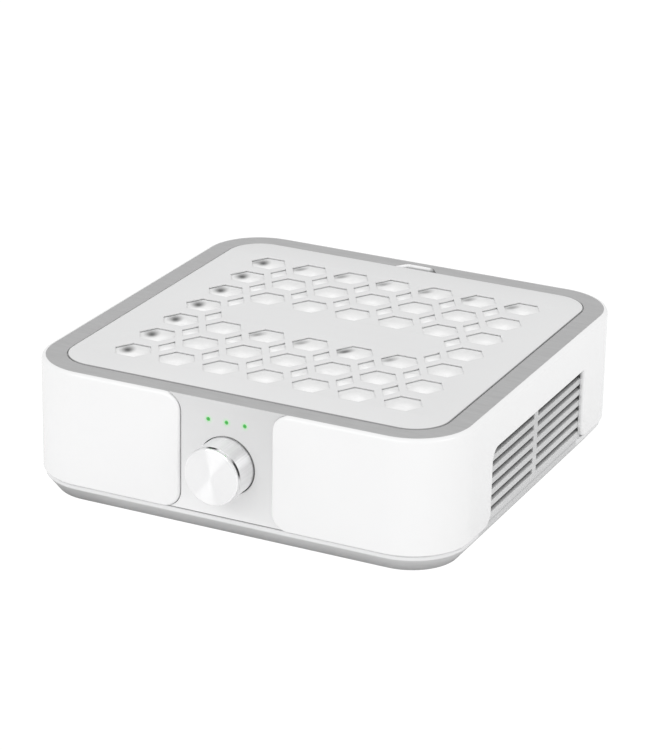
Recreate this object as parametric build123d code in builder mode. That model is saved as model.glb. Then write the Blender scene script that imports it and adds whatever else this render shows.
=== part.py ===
"""Desk-top nail dust collector: a square box with a lift-off honeycomb cover over a filter and a fan.

Millimetres, +Z up, the front (knob side) towards -Y. The origin is on the table, under the centre of
the whole object's bounding box, so the body's own centre line stands body_y behind it.
"""

import os
from math import atan2, cos, degrees, radians, sin, sqrt

from build123d import *

# ---- Driving sizes: the body -------------------------------------------------------------------
body_size = 265.0  # outside width and depth of the white shell
body_radius = 36.5  # plan radius of the shell's corners
body_height = 80.0  # underside of the base to the top of the ring
foot_height = 2.0  # how far the rubber feet stand below the base
shell_wall = 2.5
shell_gap = 0.1  # shell to whatever stands inside it
top_round = 2.3  # rolled top edge of the shell
foot_round = 1.2  # softened bottom edge of the shell

# Base tray
base_rim_height = 11.4  # underside of the base to the top of its rim
base_rim_depth = 2.7  # upright part of the rim
base_rim_inset = 1.5  # rim behind the shell's face
base_bottom_inset = 8.3  # underside's edge behind the shell's face
base_wall = 2.2
base_edge_round = 1.0
shell_lift = 0.5  # shadow gap between rim and shell

# Inner frame
frame_wall = 2.0
frame_foot = 1.1  # lip round the frame's foot that the shell stands on
post_radius = 4.5
post_side_inset = 44.5  # post's axis from the shell's side face
post_end_inset = 24.5  # post's axis from the shell's front or back face
post_web = 2.0
post_gap = 0.2
deck_boss_side_inset = 56.5  # boss's axis from the shell's side face
deck_boss_inset = 3.5  # boss's axis from the frame's inside
deck_boss_radius = 4.0
deck_boss_depth = 14.0

# Screws
screw_radius = 1.5
screw_head_radius = 2.8
screw_head_height = 2.0
screw_head_bevel = 0.6
screw_fit = 0.05
base_screw_length = 16.0
deck_screw_length = 9.0

# Rubber feet
foot_radius = 8.0
foot_recess = 1.2
foot_side_inset = 28.5  # foot's axis from the shell's side face
foot_end_inset = 36.5  # foot's axis from the shell's front or back face
foot_fit = 0.1

# Top ring and cover
ring_thickness = 4.0
ring_width = 11.7
cover_ledge = 2.8  # ledge that carries the cover
cover_gap = 0.8
cover_thickness = 2.0
cover_proud = 0.4  # cover above the ring
grille_thickness = 1.2  # thinned field with the openings
cover_border = 15.6  # full-thickness border round the thinned field
hex_across = 20.2  # across flats of one opening
hex_pitch = 28.2
grille_web = 4.7  # bar between a hexagon and a diamond

# Finger notch in the ring's back edge
notch_width = 28.0
notch_inner_width = 17.0
notch_depth = 7.4
notch_round = 3.5
notch_sink = 6.0
notch_wall = 1.8

# Side vents
vent_width = 136.0
vent_drop = 24.8  # ring's top down to the cut-out's top edge
vent_front_radius = 7.0  # cut-out's top corner towards the front
vent_rear_radius = 1.5
vent_bottom_radius = 8.0
louvre_thickness = 3.4
louvre_overlap = 4.0
louvre_fit = 0.2
slot_count = 6
slot_pitch = 6.8
slot_height = 3.3
slot_drop = 28.4  # ring's top down to the middle of the first slot
slot_overrun = 2.0  # slots' ends behind the cut-out's sides
slot_slant = 12.0  # degrees, outer edge lower
louvre_rib = 5.5

# Front: the gap between the two pads, and the control panel in it
pad_gap = 57.6
pad_radius = 10.5
panel_setback = 1.5
panel_gap = 0.6
panel_plug_border = 6.0  # material round the knob's hole and above the lights
panel_plug_depth = 2.0
panel_round = 0.5

# Status lights
led_count = 3
led_pitch = 11.25
led_drop = 11.2
led_radius = 1.2
led_fit = 0.05

# Speed knob
knob_drop = 37.0  # ring's top down to the knob's axis
knob_radius = 16.5
knob_collar_radius = 17.0
knob_collar_length = 2.2
knob_groove = 0.6
knob_bevel = 1.0
knob_reach = 17.5  # face of the knob in front of the shell
knob_tail = 2.4  # how far the knob runs in behind the panel's face
knob_wall = 1.5
knob_core_gap = 0.05
knob_hole_gap = 0.9

# Potentiometer and control board
shaft_radius = 3.0
shaft_fit = 0.05
shaft_flat = 1.5
shaft_engagement = 12.0
pot_width = 17.0
pot_depth = 5.0
pot_round = 2.0
pot_bush_radius = 5.0
pot_bush_length = 1.2
board_thickness = 1.6
board_gap = 0.6
control_board_width = 46.0
control_board_border = 3.0

# Filter and the well it stands in
filter_side_gap = 0.5
filter_wall = 2.4
filter_height = 26.6
filter_flange = 7.0
filter_flange_thickness = 2.0
seal_height = 2.0
seal_width = 6.0
pad_thickness = 2.0
pad_side_gap = 2.0
pad_round = 0.8
pad_under_grille = 0.5
pleat_count = 24
pleat_sheet = 1.2
media_fit = 0.4
well_wall = 1.8
deck_thickness = 2.0
deck_fit = 0.2

# Fan
inlet_radius = 49.0
inlet_flare = 8.0
inlet_overlap = 2.9  # how far the impeller's eye comes up round the bell mouth
inlet_wall = 1.6
guard_radius = 66.0
guard_thickness = 1.8
guard_bar = 1.8
guard_rim = 6.0
guard_hub_radius = 10.0
guard_rings = 4
guard_spokes = 6
guard_peg_radius = 1.2
guard_peg_fit = 0.1
impeller_radius = 80.0
impeller_plate = 1.6
impeller_eye_gap = 2.0
impeller_outlet = 20.0  # blade height at the rim
impeller_lift = 12.0  # underside of the back plate above the underside of the base
blade_count = 11
blade_thickness = 1.8
blade_inner_radius = 38.0
blade_sweep = 52.0
blade_bow = 8.0
shroud_bend = 6.0
hub_wall = 1.8

# Motor (external rotor)
rotor_radius = 23.0
rotor_wall = 1.5
rotor_height = 21.0
magnet_wall = 1.5
air_gap = 0.6
rotor_fit = 0.02
rotor_lift = 1.5  # open edge of the rotor above its bracket
stator_height = 12.0
stator_lift = 1.0  # coils above the bracket
stator_teeth = 9
tooth_width = 3.2
tooth_shoe = 1.4
shoe_slot = 2.0
core_wall = 3.0
coil_wall = 1.4
coil_gap = 0.2
spindle_radius = 2.0
spindle_fit = 0.04
bearing_radius = 5.5
bearing_height = 4.0
bearing_shoulder = 1.0
bearing_inset = 0.5
bracket_radius = 31.0
bracket_thickness = 2.5
bracket_tube_wall = 1.2
motor_screw_circle = 27.3
motor_screw_count = 3
motor_screw_length = 6.0
motor_boss_height = 4.0

# Power inlet and main board
jack_x = 50.0
jack_height = 24.0
jack_flange = 11.0
jack_flange_thickness = 1.2
jack_flange_round = 2.0
jack_radius = 4.6
jack_length = 14.0
jack_bore_radius = 2.9
jack_bore_depth = 9.5
jack_pin_radius = 1.0
jack_pin_length = 8.0
jack_fit = 0.1
main_board_width = 62.0
main_board_depth = 30.0
main_board_back = 28.5  # board's middle in front of the shell's back face
main_board_lift = 5.0
main_board_inset = 4.0
board_screw_length = 5.0
board_post_radius = 3.0
capacitor_radius = 4.0
capacitor_height = 10.0
capacitor_spacing = 12.0
plug_width = 12.0
plug_depth = 6.0
plug_height = 7.0

# ---- Sizes that follow ---------------------------------------------------------------------------
half = body_size / 2
body_y = knob_reach / 2
base_z = foot_height
rim_z = base_z + base_rim_height
shell_z = rim_z + shell_lift
deck_top_z = base_z + body_height  # the ring's top face
core_size = body_size - 2 * shell_wall - 2 * shell_gap
core_radius = body_radius - shell_wall - shell_gap
cover_opening = core_size - 2 * ring_width
cover_opening_radius = core_radius - ring_width
foot_x = half - foot_side_inset
foot_y = half - foot_end_inset
base_post_x = half - post_side_inset
base_post_y = half - post_end_inset
deck_boss_x = half - deck_boss_side_inset
deck_boss_y = core_size / 2 - frame_wall - deck_boss_inset
main_board_y = half - main_board_back
ring_z = deck_top_z - ring_thickness
ledge_z = deck_top_z + cover_proud - cover_thickness
cover_z = ledge_z + cover_thickness
well_opening = cover_opening - 2 * cover_ledge
well_opening_radius = cover_opening_radius - cover_ledge
vent_top_z = deck_top_z - vent_drop
panel_z = rim_z + panel_gap / 2
knob_z = deck_top_z - knob_drop
led_z = deck_top_z - led_drop
filter_size = well_opening - 2 * filter_side_gap
pad_top_z = cover_z - grille_thickness - pad_under_grille
filter_top_z = pad_top_z - pad_thickness
filter_z = filter_top_z - filter_height
seal_z = filter_z - seal_height
floor_z = seal_z - deck_thickness  # underside of the fan deck
tray_floor_z = base_z + base_wall
mouth_radius = inlet_radius + inlet_flare
throat_z = seal_z - inlet_flare
impeller_z = base_z + impeller_lift
impeller_height = throat_z + inlet_overlap - impeller_z
bracket_z = tray_floor_z + motor_boss_height
tube_radius = bearing_radius + bracket_tube_wall
well_size = well_opening + 2 * well_wall
cup_front_y = well_size / 2 + deck_fit
knob_hole_radius = knob_radius + knob_hole_gap
panel_plug_width = 2 * (knob_hole_radius + panel_plug_border)
plug_low_z = knob_z - knob_hole_radius - panel_plug_border
plug_high_z = led_z + led_radius + panel_plug_border / 2


def level(height):
    """Horizontal plane at a height, centred on the body."""
    return Plane((0, body_y, height))


def facing_front(setback, height=0.0):
    """Upright plane that looks to the front, a distance behind the shell's front face."""
    return Plane((0, body_y - half + setback, height), x_dir=(1, 0, 0), z_dir=(0, -1, 0))


def facing_side(side, setback):
    """Upright plane that looks out to the right (1) or left (-1), behind the shell's side face."""
    return Plane((side * (half - setback), body_y, 0), x_dir=(0, side, 0), z_dir=(side, 0, 0))


def facing_back(setback, height=0.0):
    """Upright plane that looks to the back, a distance in front of the shell's back face."""
    return Plane((0, body_y + half - setback, height), x_dir=(-1, 0, 0), z_dir=(0, 1, 0))


def section():
    """Upright half section through the body's centre line: x is the radius, y the height."""
    return Plane((0, body_y, 0), x_dir=(1, 0, 0), z_dir=(0, -1, 0))


def corners(x, y):
    """The four places that mirror each other about the body's centre."""
    return [(x, y), (-x, y), (-x, -y), (x, -y)]


def notch_outline(near_y):
    """Plan of the finger notch: from near_y back to its rounded far side."""
    back_y = cover_opening / 2 + notch_depth
    edge_y = cover_opening / 2
    with BuildSketch(mode=Mode.PRIVATE) as outline:
        Polygon(
            (-notch_width / 2, near_y),
            (notch_width / 2, near_y),
            (notch_width / 2, edge_y),
            (notch_inner_width / 2, back_y),
            (-notch_inner_width / 2, back_y),
            (-notch_width / 2, edge_y),
            align=None,
        )
        fillet(outline.vertices().group_by(Axis.Y)[-1], notch_round)
    add(outline.sketch)


centre_axis = Axis((0, body_y, 0), (0, 0, 1))
os.makedirs("parts", exist_ok=True)


def write(builder, name):
    """Label a finished piece and write it as one STEP file."""
    builder.part.label = name
    export_step(builder.part, f"parts/{name}.step")


# ---- Base tray: pressed-looking silver tray with a bevelled edge ---------------------------------
bevel_height = base_rim_height - base_rim_depth
bevel_run = base_bottom_inset - base_rim_inset
bevel_angle = degrees(atan2(bevel_run, bevel_height))
rim_size = body_size - 2 * base_rim_inset
rim_radius = body_radius - base_rim_inset
bottom_size = body_size - 2 * base_bottom_inset
bottom_radius = body_radius - base_bottom_inset

with BuildPart() as base_tray:
    with BuildSketch(level(base_z)):
        RectangleRounded(bottom_size, bottom_size, bottom_radius)
    extrude(amount=bevel_height, taper=-bevel_angle)
    with BuildSketch(level(base_z + bevel_height)):
        RectangleRounded(rim_size, rim_size, rim_radius)
    extrude(amount=base_rim_depth)
    fillet(base_tray.edges().group_by(Axis.Z)[-1], base_edge_round)
    with BuildSketch(level(rim_z)):
        RectangleRounded(rim_size - 2 * base_wall, rim_size - 2 * base_wall, rim_radius - base_wall)
    extrude(amount=-base_rim_depth, mode=Mode.SUBTRACT)
    with BuildSketch(level(base_z + bevel_height)):
        RectangleRounded(rim_size - 2 * base_wall, rim_size - 2 * base_wall, rim_radius - base_wall)
    extrude(amount=-(bevel_height - base_wall), taper=bevel_angle, mode=Mode.SUBTRACT)
    with BuildSketch(level(tray_floor_z)):
        with Locations(*corners(base_post_x, base_post_y)):
            Circle(post_radius)
    extrude(amount=rim_z - tray_floor_z - post_gap)
    with BuildSketch(level(tray_floor_z)):
        Circle(bracket_radius)
    extrude(amount=motor_boss_height)
    with BuildSketch(level(tray_floor_z)):
        with Locations((0, main_board_y)):
            with GridLocations(
                main_board_width - 2 * main_board_inset, main_board_depth - 2 * main_board_inset, 2, 2
            ):
                Circle(board_post_radius)
    extrude(amount=main_board_lift)
    with BuildSketch(level(base_z)):
        with Locations(*corners(foot_x, foot_y)):
            Circle(foot_radius + foot_fit)
    extrude(amount=foot_recess, mode=Mode.SUBTRACT)
    with BuildSketch(level(base_z)):
        with Locations(*corners(base_post_x, base_post_y)):
            Circle(screw_head_radius + 2 * shell_gap)
    extrude(amount=screw_head_height + foot_recess, mode=Mode.SUBTRACT)
    with BuildSketch(level(base_z)):
        with Locations(*corners(base_post_x, base_post_y)):
            Circle(screw_radius + 2 * screw_fit)
    extrude(amount=rim_z - base_z, mode=Mode.SUBTRACT)
    with BuildSketch(level(bracket_z)):
        with PolarLocations(motor_screw_circle, motor_screw_count):
            Circle(screw_radius)
    extrude(amount=-(motor_boss_height + base_wall / 2), mode=Mode.SUBTRACT)
    with BuildSketch(level(tray_floor_z + main_board_lift)):
        with Locations((0, main_board_y)):
            with GridLocations(
                main_board_width - 2 * main_board_inset, main_board_depth - 2 * main_board_inset, 2, 2
            ):
                Circle(screw_radius)
    extrude(amount=-(main_board_lift + base_wall / 2), mode=Mode.SUBTRACT)
write(base_tray, "base_tray")

# ---- Rubber feet, pressed into shallow recesses --------------------------------------------------
with BuildPart() as rubber_feet:
    with BuildSketch(level(0)):
        with Locations(*corners(foot_x, foot_y)):
            Circle(foot_radius)
    extrude(amount=foot_height + foot_recess)
    chamfer(rubber_feet.edges().group_by(Axis.Z)[0], foot_height / 4)
write(rubber_feet, "rubber_feet")


def screws(plane, places, length, name):
    """Pan-head screws at places on a plane: heads stand on it, shanks run in behind it."""
    with BuildPart() as group:
        with BuildSketch(plane):
            with Locations(*places):
                Circle(screw_head_radius)
        extrude(amount=screw_head_height)
        outward = Axis(plane.origin, plane.z_dir)
        chamfer(group.edges().filter_by(GeomType.CIRCLE).group_by(outward)[-1], screw_head_bevel)
        with BuildSketch(plane):
            with Locations(*places):
                Circle(screw_radius - screw_fit)
        extrude(amount=-length)
    write(group, name)


head_seat_z = base_z + screw_head_height + foot_recess
screws(
    Plane((0, body_y, head_seat_z), x_dir=(1, 0, 0), z_dir=(0, 0, -1)),
    corners(base_post_x, base_post_y),
    base_screw_length,
    "base_screws",
)

# ---- Inner frame: the square tube that everything is fixed to ------------------------------------
louvre_face = shell_wall + shell_gap
louvre_width = vent_width + 2 * louvre_overlap
louvre_top_z = vent_top_z + louvre_overlap
slot_length = (vent_width - louvre_rib) / 2 + slot_overrun
inside_size = core_size - 2 * frame_wall
inside_radius = core_radius - frame_wall

with BuildPart() as inner_frame:
    with BuildSketch(level(rim_z)):
        RectangleRounded(core_size, core_size, core_radius)
        RectangleRounded(inside_size, inside_size, inside_radius, mode=Mode.SUBTRACT)
    extrude(amount=ring_z - rim_z)
    with BuildSketch(level(rim_z)):
        RectangleRounded(core_size + 2 * frame_foot, core_size + 2 * frame_foot, core_radius + frame_foot)
        RectangleRounded(inside_size, inside_size, inside_radius, mode=Mode.SUBTRACT)
    extrude(amount=shell_lift)
    # Posts down to the tray, each tied to the wall by a web, and short bosses under the deck.
    with BuildSketch(level(rim_z)):
        with Locations(*corners(base_post_x, base_post_y)):
            Circle(post_radius)
        with Locations(*corners(base_post_x, (base_post_y + core_size / 2) / 2)):
            Rectangle(post_web, core_size / 2 - base_post_y)
    extrude(amount=floor_z - rim_z)
    with BuildSketch(level(floor_z)):
        with Locations(*corners(deck_boss_x, deck_boss_y)):
            Circle(deck_boss_radius)
    extrude(amount=-deck_boss_depth)
    with BuildSketch(level(rim_z)):
        with Locations(*corners(base_post_x, base_post_y)):
            Circle(screw_radius)
    extrude(amount=base_screw_length, mode=Mode.SUBTRACT)
    with BuildSketch(level(floor_z)):
        with Locations(*corners(deck_boss_x, deck_boss_y)):
            Circle(screw_radius)
    extrude(amount=-deck_screw_length, mode=Mode.SUBTRACT)
    # Windows for the louvre panels, open to the base's rim.
    for side in (1, -1):
        with BuildSketch(facing_side(side, 0)):
            with Locations((0, rim_z)):
                Rectangle(
                    louvre_width + 2 * louvre_fit,
                    louvre_top_z + louvre_fit - rim_z,
                    align=(Align.CENTER, Align.MIN),
                )
        extrude(amount=-(shell_wall + 2 * frame_wall), mode=Mode.SUBTRACT)
    # Window for the back of the control panel, and its foot's place in the frame's foot.
    with BuildSketch(facing_front(shell_wall, (plug_low_z + plug_high_z) / 2)):
        Rectangle(panel_plug_width + 2 * louvre_fit, plug_high_z - plug_low_z + 2 * louvre_fit)
    extrude(amount=-2 * frame_wall, mode=Mode.SUBTRACT)
    with BuildSketch(facing_front(0, rim_z)):
        Rectangle(pad_gap + 2 * pad_radius, 2 * shell_lift)
    extrude(amount=-louvre_face, mode=Mode.SUBTRACT)
    # Hole for the power inlet.
    with BuildSketch(facing_back(shell_wall, jack_height)):
        with Locations((-jack_x, 0)):
            Circle(jack_radius + jack_fit)
    extrude(amount=-2 * frame_wall, mode=Mode.SUBTRACT)
    # Finger cup under the notch in the ring's back edge.
    with BuildSketch(level(ring_z)):
        with Locations((0, cup_front_y)):
            Rectangle(
                notch_width + 2 * notch_wall, core_size / 2 - cup_front_y, align=(Align.CENTER, Align.MIN)
            )
    extrude(amount=-(notch_sink + notch_wall))
    with BuildSketch(level(ring_z)):
        notch_outline(cup_front_y - notch_wall)
    extrude(amount=-notch_sink, mode=Mode.SUBTRACT)
write(inner_frame, "inner_frame")

# ---- Top ring: satin silver frame with a ledge for the cover -------------------------------------
with BuildPart() as top_ring:
    with BuildSketch(level(ring_z)):
        RectangleRounded(core_size, core_size, core_radius)
        RectangleRounded(well_opening, well_opening, well_opening_radius, mode=Mode.SUBTRACT)
    extrude(amount=ring_thickness)
    with BuildSketch(level(ledge_z)):
        RectangleRounded(cover_opening, cover_opening, cover_opening_radius)
    extrude(amount=ring_thickness, mode=Mode.SUBTRACT)
    with BuildSketch(level(ring_z)):
        notch_outline(well_opening / 2 - notch_round)
    extrude(amount=ring_thickness, mode=Mode.SUBTRACT)
write(top_ring, "top_ring")

# ---- Outer shell: gloss white band, split at the front between two round-cornered pads -----------
shell_height = deck_top_z - shell_z
shell_cut = 3 * shell_wall  # from outside the shell to well inside it


def between_pads(gap, overrun):
    """Outline of the space between the two pads, smaller by a gap and longer by an overrun."""
    middle_z = shell_z + shell_height / 2
    pad_width = 4 * pad_radius
    pad_x = (pad_gap + pad_width) / 2
    with Locations((0, middle_z)):
        Rectangle(pad_gap + 2 * pad_radius, shell_height + 2 * overrun)
    with Locations((pad_x, middle_z), (-pad_x, middle_z)):
        RectangleRounded(
            pad_width + 2 * gap, shell_height + 2 * gap, pad_radius + gap, mode=Mode.SUBTRACT
        )


with BuildPart() as outer_shell:
    with BuildSketch(level(shell_z)):
        RectangleRounded(body_size, body_size, body_radius)
    extrude(amount=shell_height)
    fillet(outer_shell.edges().group_by(Axis.Z)[-1], top_round)
    fillet(outer_shell.edges().group_by(Axis.Z)[0], foot_round)
    with BuildSketch(level(shell_z)):
        RectangleRounded(body_size - 2 * shell_wall, body_size - 2 * shell_wall, body_radius - shell_wall)
    extrude(amount=shell_height, mode=Mode.SUBTRACT)
    with BuildSketch(facing_front(-shell_wall)):
        between_pads(0, shell_wall)
    extrude(amount=-shell_cut, mode=Mode.SUBTRACT)
    for side in (1, -1):
        with BuildSketch(facing_side(side, -shell_wall)) as vent:
            with Locations((0, vent_top_z)):
                Rectangle(vent_width, vent_top_z - shell_z + shell_wall, align=(Align.CENTER, Align.MAX))
            fillet(vent.vertices().group_by(Axis.Y)[-1].sort_by(Axis.X)[::side][0], vent_front_radius)
            fillet(vent.vertices().group_by(Axis.Y)[-1].sort_by(Axis.X)[::side][-1], vent_rear_radius)
            for end in (1, -1):
                with Locations((end * vent_width / 2, shell_z)):
                    Rectangle(2 * vent_bottom_radius, 2 * vent_bottom_radius)
                with Locations((end * (vent_width / 2 + vent_bottom_radius), shell_z + vent_bottom_radius)):
                    Circle(vent_bottom_radius, mode=Mode.SUBTRACT)
        extrude(amount=-shell_cut, mode=Mode.SUBTRACT)
    with BuildSketch(facing_back(-shell_wall, jack_height)):
        with Locations((-jack_x, 0)):
            RectangleRounded(
                jack_flange + 2 * jack_fit, jack_flange + 2 * jack_fit, jack_flange_round + jack_fit
            )
    extrude(amount=-shell_cut, mode=Mode.SUBTRACT)
write(outer_shell, "outer_shell")

# ---- Cover: light grey plate with a honeycomb of openings, bare in the middle --------------------
cover_size = cover_opening - 2 * cover_gap
cover_radius = cover_opening_radius - cover_gap
grille_field = cover_size - 2 * cover_border
hex_radius = hex_across / 2 / cos(radians(30))
hex_columns = int((grille_field - 2 * hex_radius) / hex_pitch) + 1
hex_rows = hex_columns
# A diamond's sides run parallel to the four hexagons round it, one bar's width away from each.
diamond_inradius = hex_pitch / 2 * (cos(radians(30)) + sin(radians(30))) - hex_across / 2 - grille_web
diamond_x = diamond_inradius / cos(radians(30))
diamond_y = diamond_inradius / sin(radians(30))
middle_row = (hex_rows - 1) / 2
first_x = -(hex_columns - 1) / 2 * hex_pitch
first_y = -(hex_rows - 1) / 2 * hex_pitch


def in_bare_field(column, row):
    """True where the plate stays closed: the middle of the field, inside its outer columns."""
    return abs(row - middle_row) < 1 and 0 < column < hex_columns - 1


hex_centres = [
    (first_x + column * hex_pitch, first_y + row * hex_pitch)
    for column in range(hex_columns)
    for row in range(hex_rows)
    if not in_bare_field(column, row)
]
diamond_centres = [
    (first_x + column * hex_pitch, first_y + row * hex_pitch)
    for column in [n + 0.5 for n in range(hex_columns - 1)]
    for row in [n + 0.5 for n in range(hex_rows - 1)]
    if not (in_bare_field(column, row) and 1 < column < hex_columns - 2)
]

with BuildPart() as cover_grille:
    with BuildSketch(level(ledge_z)):
        RectangleRounded(cover_size, cover_size, cover_radius)
    extrude(amount=cover_thickness)
    with BuildSketch(level(ledge_z)):
        RectangleRounded(grille_field, grille_field, cover_radius / 2)
    extrude(amount=cover_thickness - grille_thickness, mode=Mode.SUBTRACT)
    chamfer(cover_grille.edges().group_by(Axis.Z)[-1], cover_proud / 2)
    with BuildSketch(level(ledge_z)):
        with Locations(*hex_centres):
            RegularPolygon(hex_radius, 6)
        with Locations(*diamond_centres):
            Polygon((diamond_x, 0), (0, diamond_y), (-diamond_x, 0), (0, -diamond_y))
    extrude(amount=cover_thickness, mode=Mode.SUBTRACT)
write(cover_grille, "cover_grille")

# ---- Filter: nonwoven pad on a pleated block in a frame, with a foam seal below -------------------
filter_radius = well_opening_radius - filter_side_gap
filter_inside = filter_size - 2 * filter_wall
pad_size = grille_field - 2 * pad_side_gap
pleat_low_z = filter_z + filter_flange_thickness

with BuildPart() as filter_pad:
    with BuildSketch(level(filter_top_z)):
        RectangleRounded(pad_size, pad_size, cover_radius / 2)
    extrude(amount=pad_thickness)
    fillet(filter_pad.edges().group_by(Axis.Z)[-1], pad_round)
write(filter_pad, "filter_pad")

pleat_length = filter_inside - 2 * media_fit
pleat_pitch = pleat_length / pleat_count
fold_count = 2 * pleat_count + 1
pleat_rise = filter_top_z - pleat_low_z - pleat_sheet
folds = [
    (-pleat_length / 2 + n * pleat_pitch / 2, pleat_low_z + (n % 2) * pleat_rise) for n in range(fold_count)
]
with BuildPart() as filter_media:
    with BuildSketch(Plane((pleat_length / 2, body_y, 0), x_dir=(0, 1, 0), z_dir=(1, 0, 0))):
        with BuildLine():
            Polyline(*folds, *[(y, z + pleat_sheet) for y, z in reversed(folds)], close=True)
        make_face()
    extrude(amount=-pleat_length)
    with BuildSketch(level(pleat_low_z)):
        RectangleRounded(pleat_length, pleat_length, filter_radius - filter_wall - media_fit)
    extrude(amount=filter_height, mode=Mode.INTERSECT)
write(filter_media, "filter_media")

with BuildPart() as filter_frame:
    with BuildSketch(level(filter_z)):
        RectangleRounded(filter_size, filter_size, filter_radius)
        RectangleRounded(
            filter_inside - 2 * filter_flange,
            filter_inside - 2 * filter_flange,
            filter_radius - filter_wall,
            mode=Mode.SUBTRACT,
        )
    extrude(amount=filter_flange_thickness)
    with BuildSketch(level(filter_z)):
        RectangleRounded(filter_size, filter_size, filter_radius)
        RectangleRounded(filter_inside, filter_inside, filter_radius - filter_wall, mode=Mode.SUBTRACT)
    extrude(amount=filter_height)
write(filter_frame, "filter_frame")

seal_inside = filter_size - 2 * seal_width
with BuildPart() as filter_seal:
    with BuildSketch(level(seal_z)):
        RectangleRounded(filter_size, filter_size, filter_radius)
        RectangleRounded(seal_inside, seal_inside, filter_radius - seal_width, mode=Mode.SUBTRACT)
    extrude(amount=seal_height)
write(filter_seal, "filter_seal")

# ---- Fan deck: floor and walls of the filter's well, with a bell mouth into the fan ---------------
control_board_y = -well_size / 2  # back face of the control board, on the well's wall
with BuildPart() as fan_deck:
    with BuildSketch(level(floor_z)):
        RectangleRounded(inside_size - 2 * deck_fit, inside_size - 2 * deck_fit, inside_radius - deck_fit)
        Circle(mouth_radius, mode=Mode.SUBTRACT)
        with Locations(*corners(deck_boss_x, deck_boss_y)):
            Circle(screw_radius + 2 * screw_fit, mode=Mode.SUBTRACT)
        with Locations((inside_size / 2, 0), (-inside_size / 2, 0)):
            Rectangle(
                2 * (louvre_thickness - frame_wall + deck_fit),
                louvre_width + 2 * louvre_fit,
                mode=Mode.SUBTRACT,
            )
        with Locations((0, control_board_y + board_gap)):
            Rectangle(
                control_board_width + 2 * board_gap,
                inside_size / 2,
                align=(Align.CENTER, Align.MAX),
                mode=Mode.SUBTRACT,
            )
    extrude(amount=deck_thickness)
    with BuildSketch(level(seal_z)):
        RectangleRounded(well_size, well_size, well_opening_radius + well_wall)
        RectangleRounded(well_opening, well_opening, well_opening_radius, mode=Mode.SUBTRACT)
    extrude(amount=ring_z - seal_z)
    with BuildSketch(section()):
        with BuildLine():
            edge = Line((mouth_radius, seal_z), (mouth_radius, seal_z - inlet_wall))
            outside = RadiusArc(edge @ 1, (inlet_radius + inlet_wall, throat_z), inlet_wall - inlet_flare)
            throat = Line(outside @ 1, (inlet_radius, throat_z))
            RadiusArc(throat @ 1, edge @ 0, inlet_flare)
        make_face()
    revolve(axis=centre_axis)
    with BuildSketch(level(seal_z)):
        with PolarLocations(guard_radius - guard_rim / 2, guard_spokes):
            Circle(guard_peg_radius + guard_peg_fit)
    extrude(amount=-deck_thickness, mode=Mode.SUBTRACT)
write(fan_deck, "fan_deck")
screws(level(seal_z), corners(deck_boss_x, deck_boss_y), deck_screw_length, "deck_screws")

# ---- Fan guard: rings and spokes over the bell mouth, on pegs in the deck ------------------------
with BuildPart() as fan_guard:
    with BuildSketch(level(seal_z)):
        Circle(guard_radius)
        Circle(guard_radius - guard_rim, mode=Mode.SUBTRACT)
        ring_step = (guard_radius - guard_rim - guard_hub_radius) / (guard_rings + 1)
        for n in range(1, guard_rings + 1):
            middle = guard_hub_radius + n * ring_step
            with BuildSketch(mode=Mode.PRIVATE) as ring_bar:
                Circle(middle + guard_bar / 2)
                Circle(middle - guard_bar / 2, mode=Mode.SUBTRACT)
            add(ring_bar.sketch)
        Circle(guard_hub_radius)
        with PolarLocations((guard_radius - guard_rim / 2) / 2, guard_spokes):
            Rectangle(guard_radius - guard_rim / 2, guard_bar)
    extrude(amount=guard_thickness)
    with BuildSketch(level(seal_z)):
        with PolarLocations(guard_radius - guard_rim / 2, guard_spokes):
            Circle(guard_peg_radius)
    extrude(amount=-deck_thickness)
write(fan_guard, "fan_guard")

# ---- Impeller: back plate, swept-back blades, shroud with an eye round the bell mouth ------------
rotor_z = bracket_z + bracket_thickness + rotor_lift
rotor_top_z = rotor_z + rotor_height
hub_top_z = rotor_top_z + hub_wall
eye_radius = inlet_radius + inlet_wall + impeller_eye_gap
eye_z = impeller_z + impeller_height
shroud_z = eye_z - impeller_plate / 2 - shroud_bend
outlet_z = impeller_z + impeller_plate + impeller_outlet
sweep = radians(blade_sweep)
blade_tip = impeller_radius - blade_thickness / 2

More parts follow.
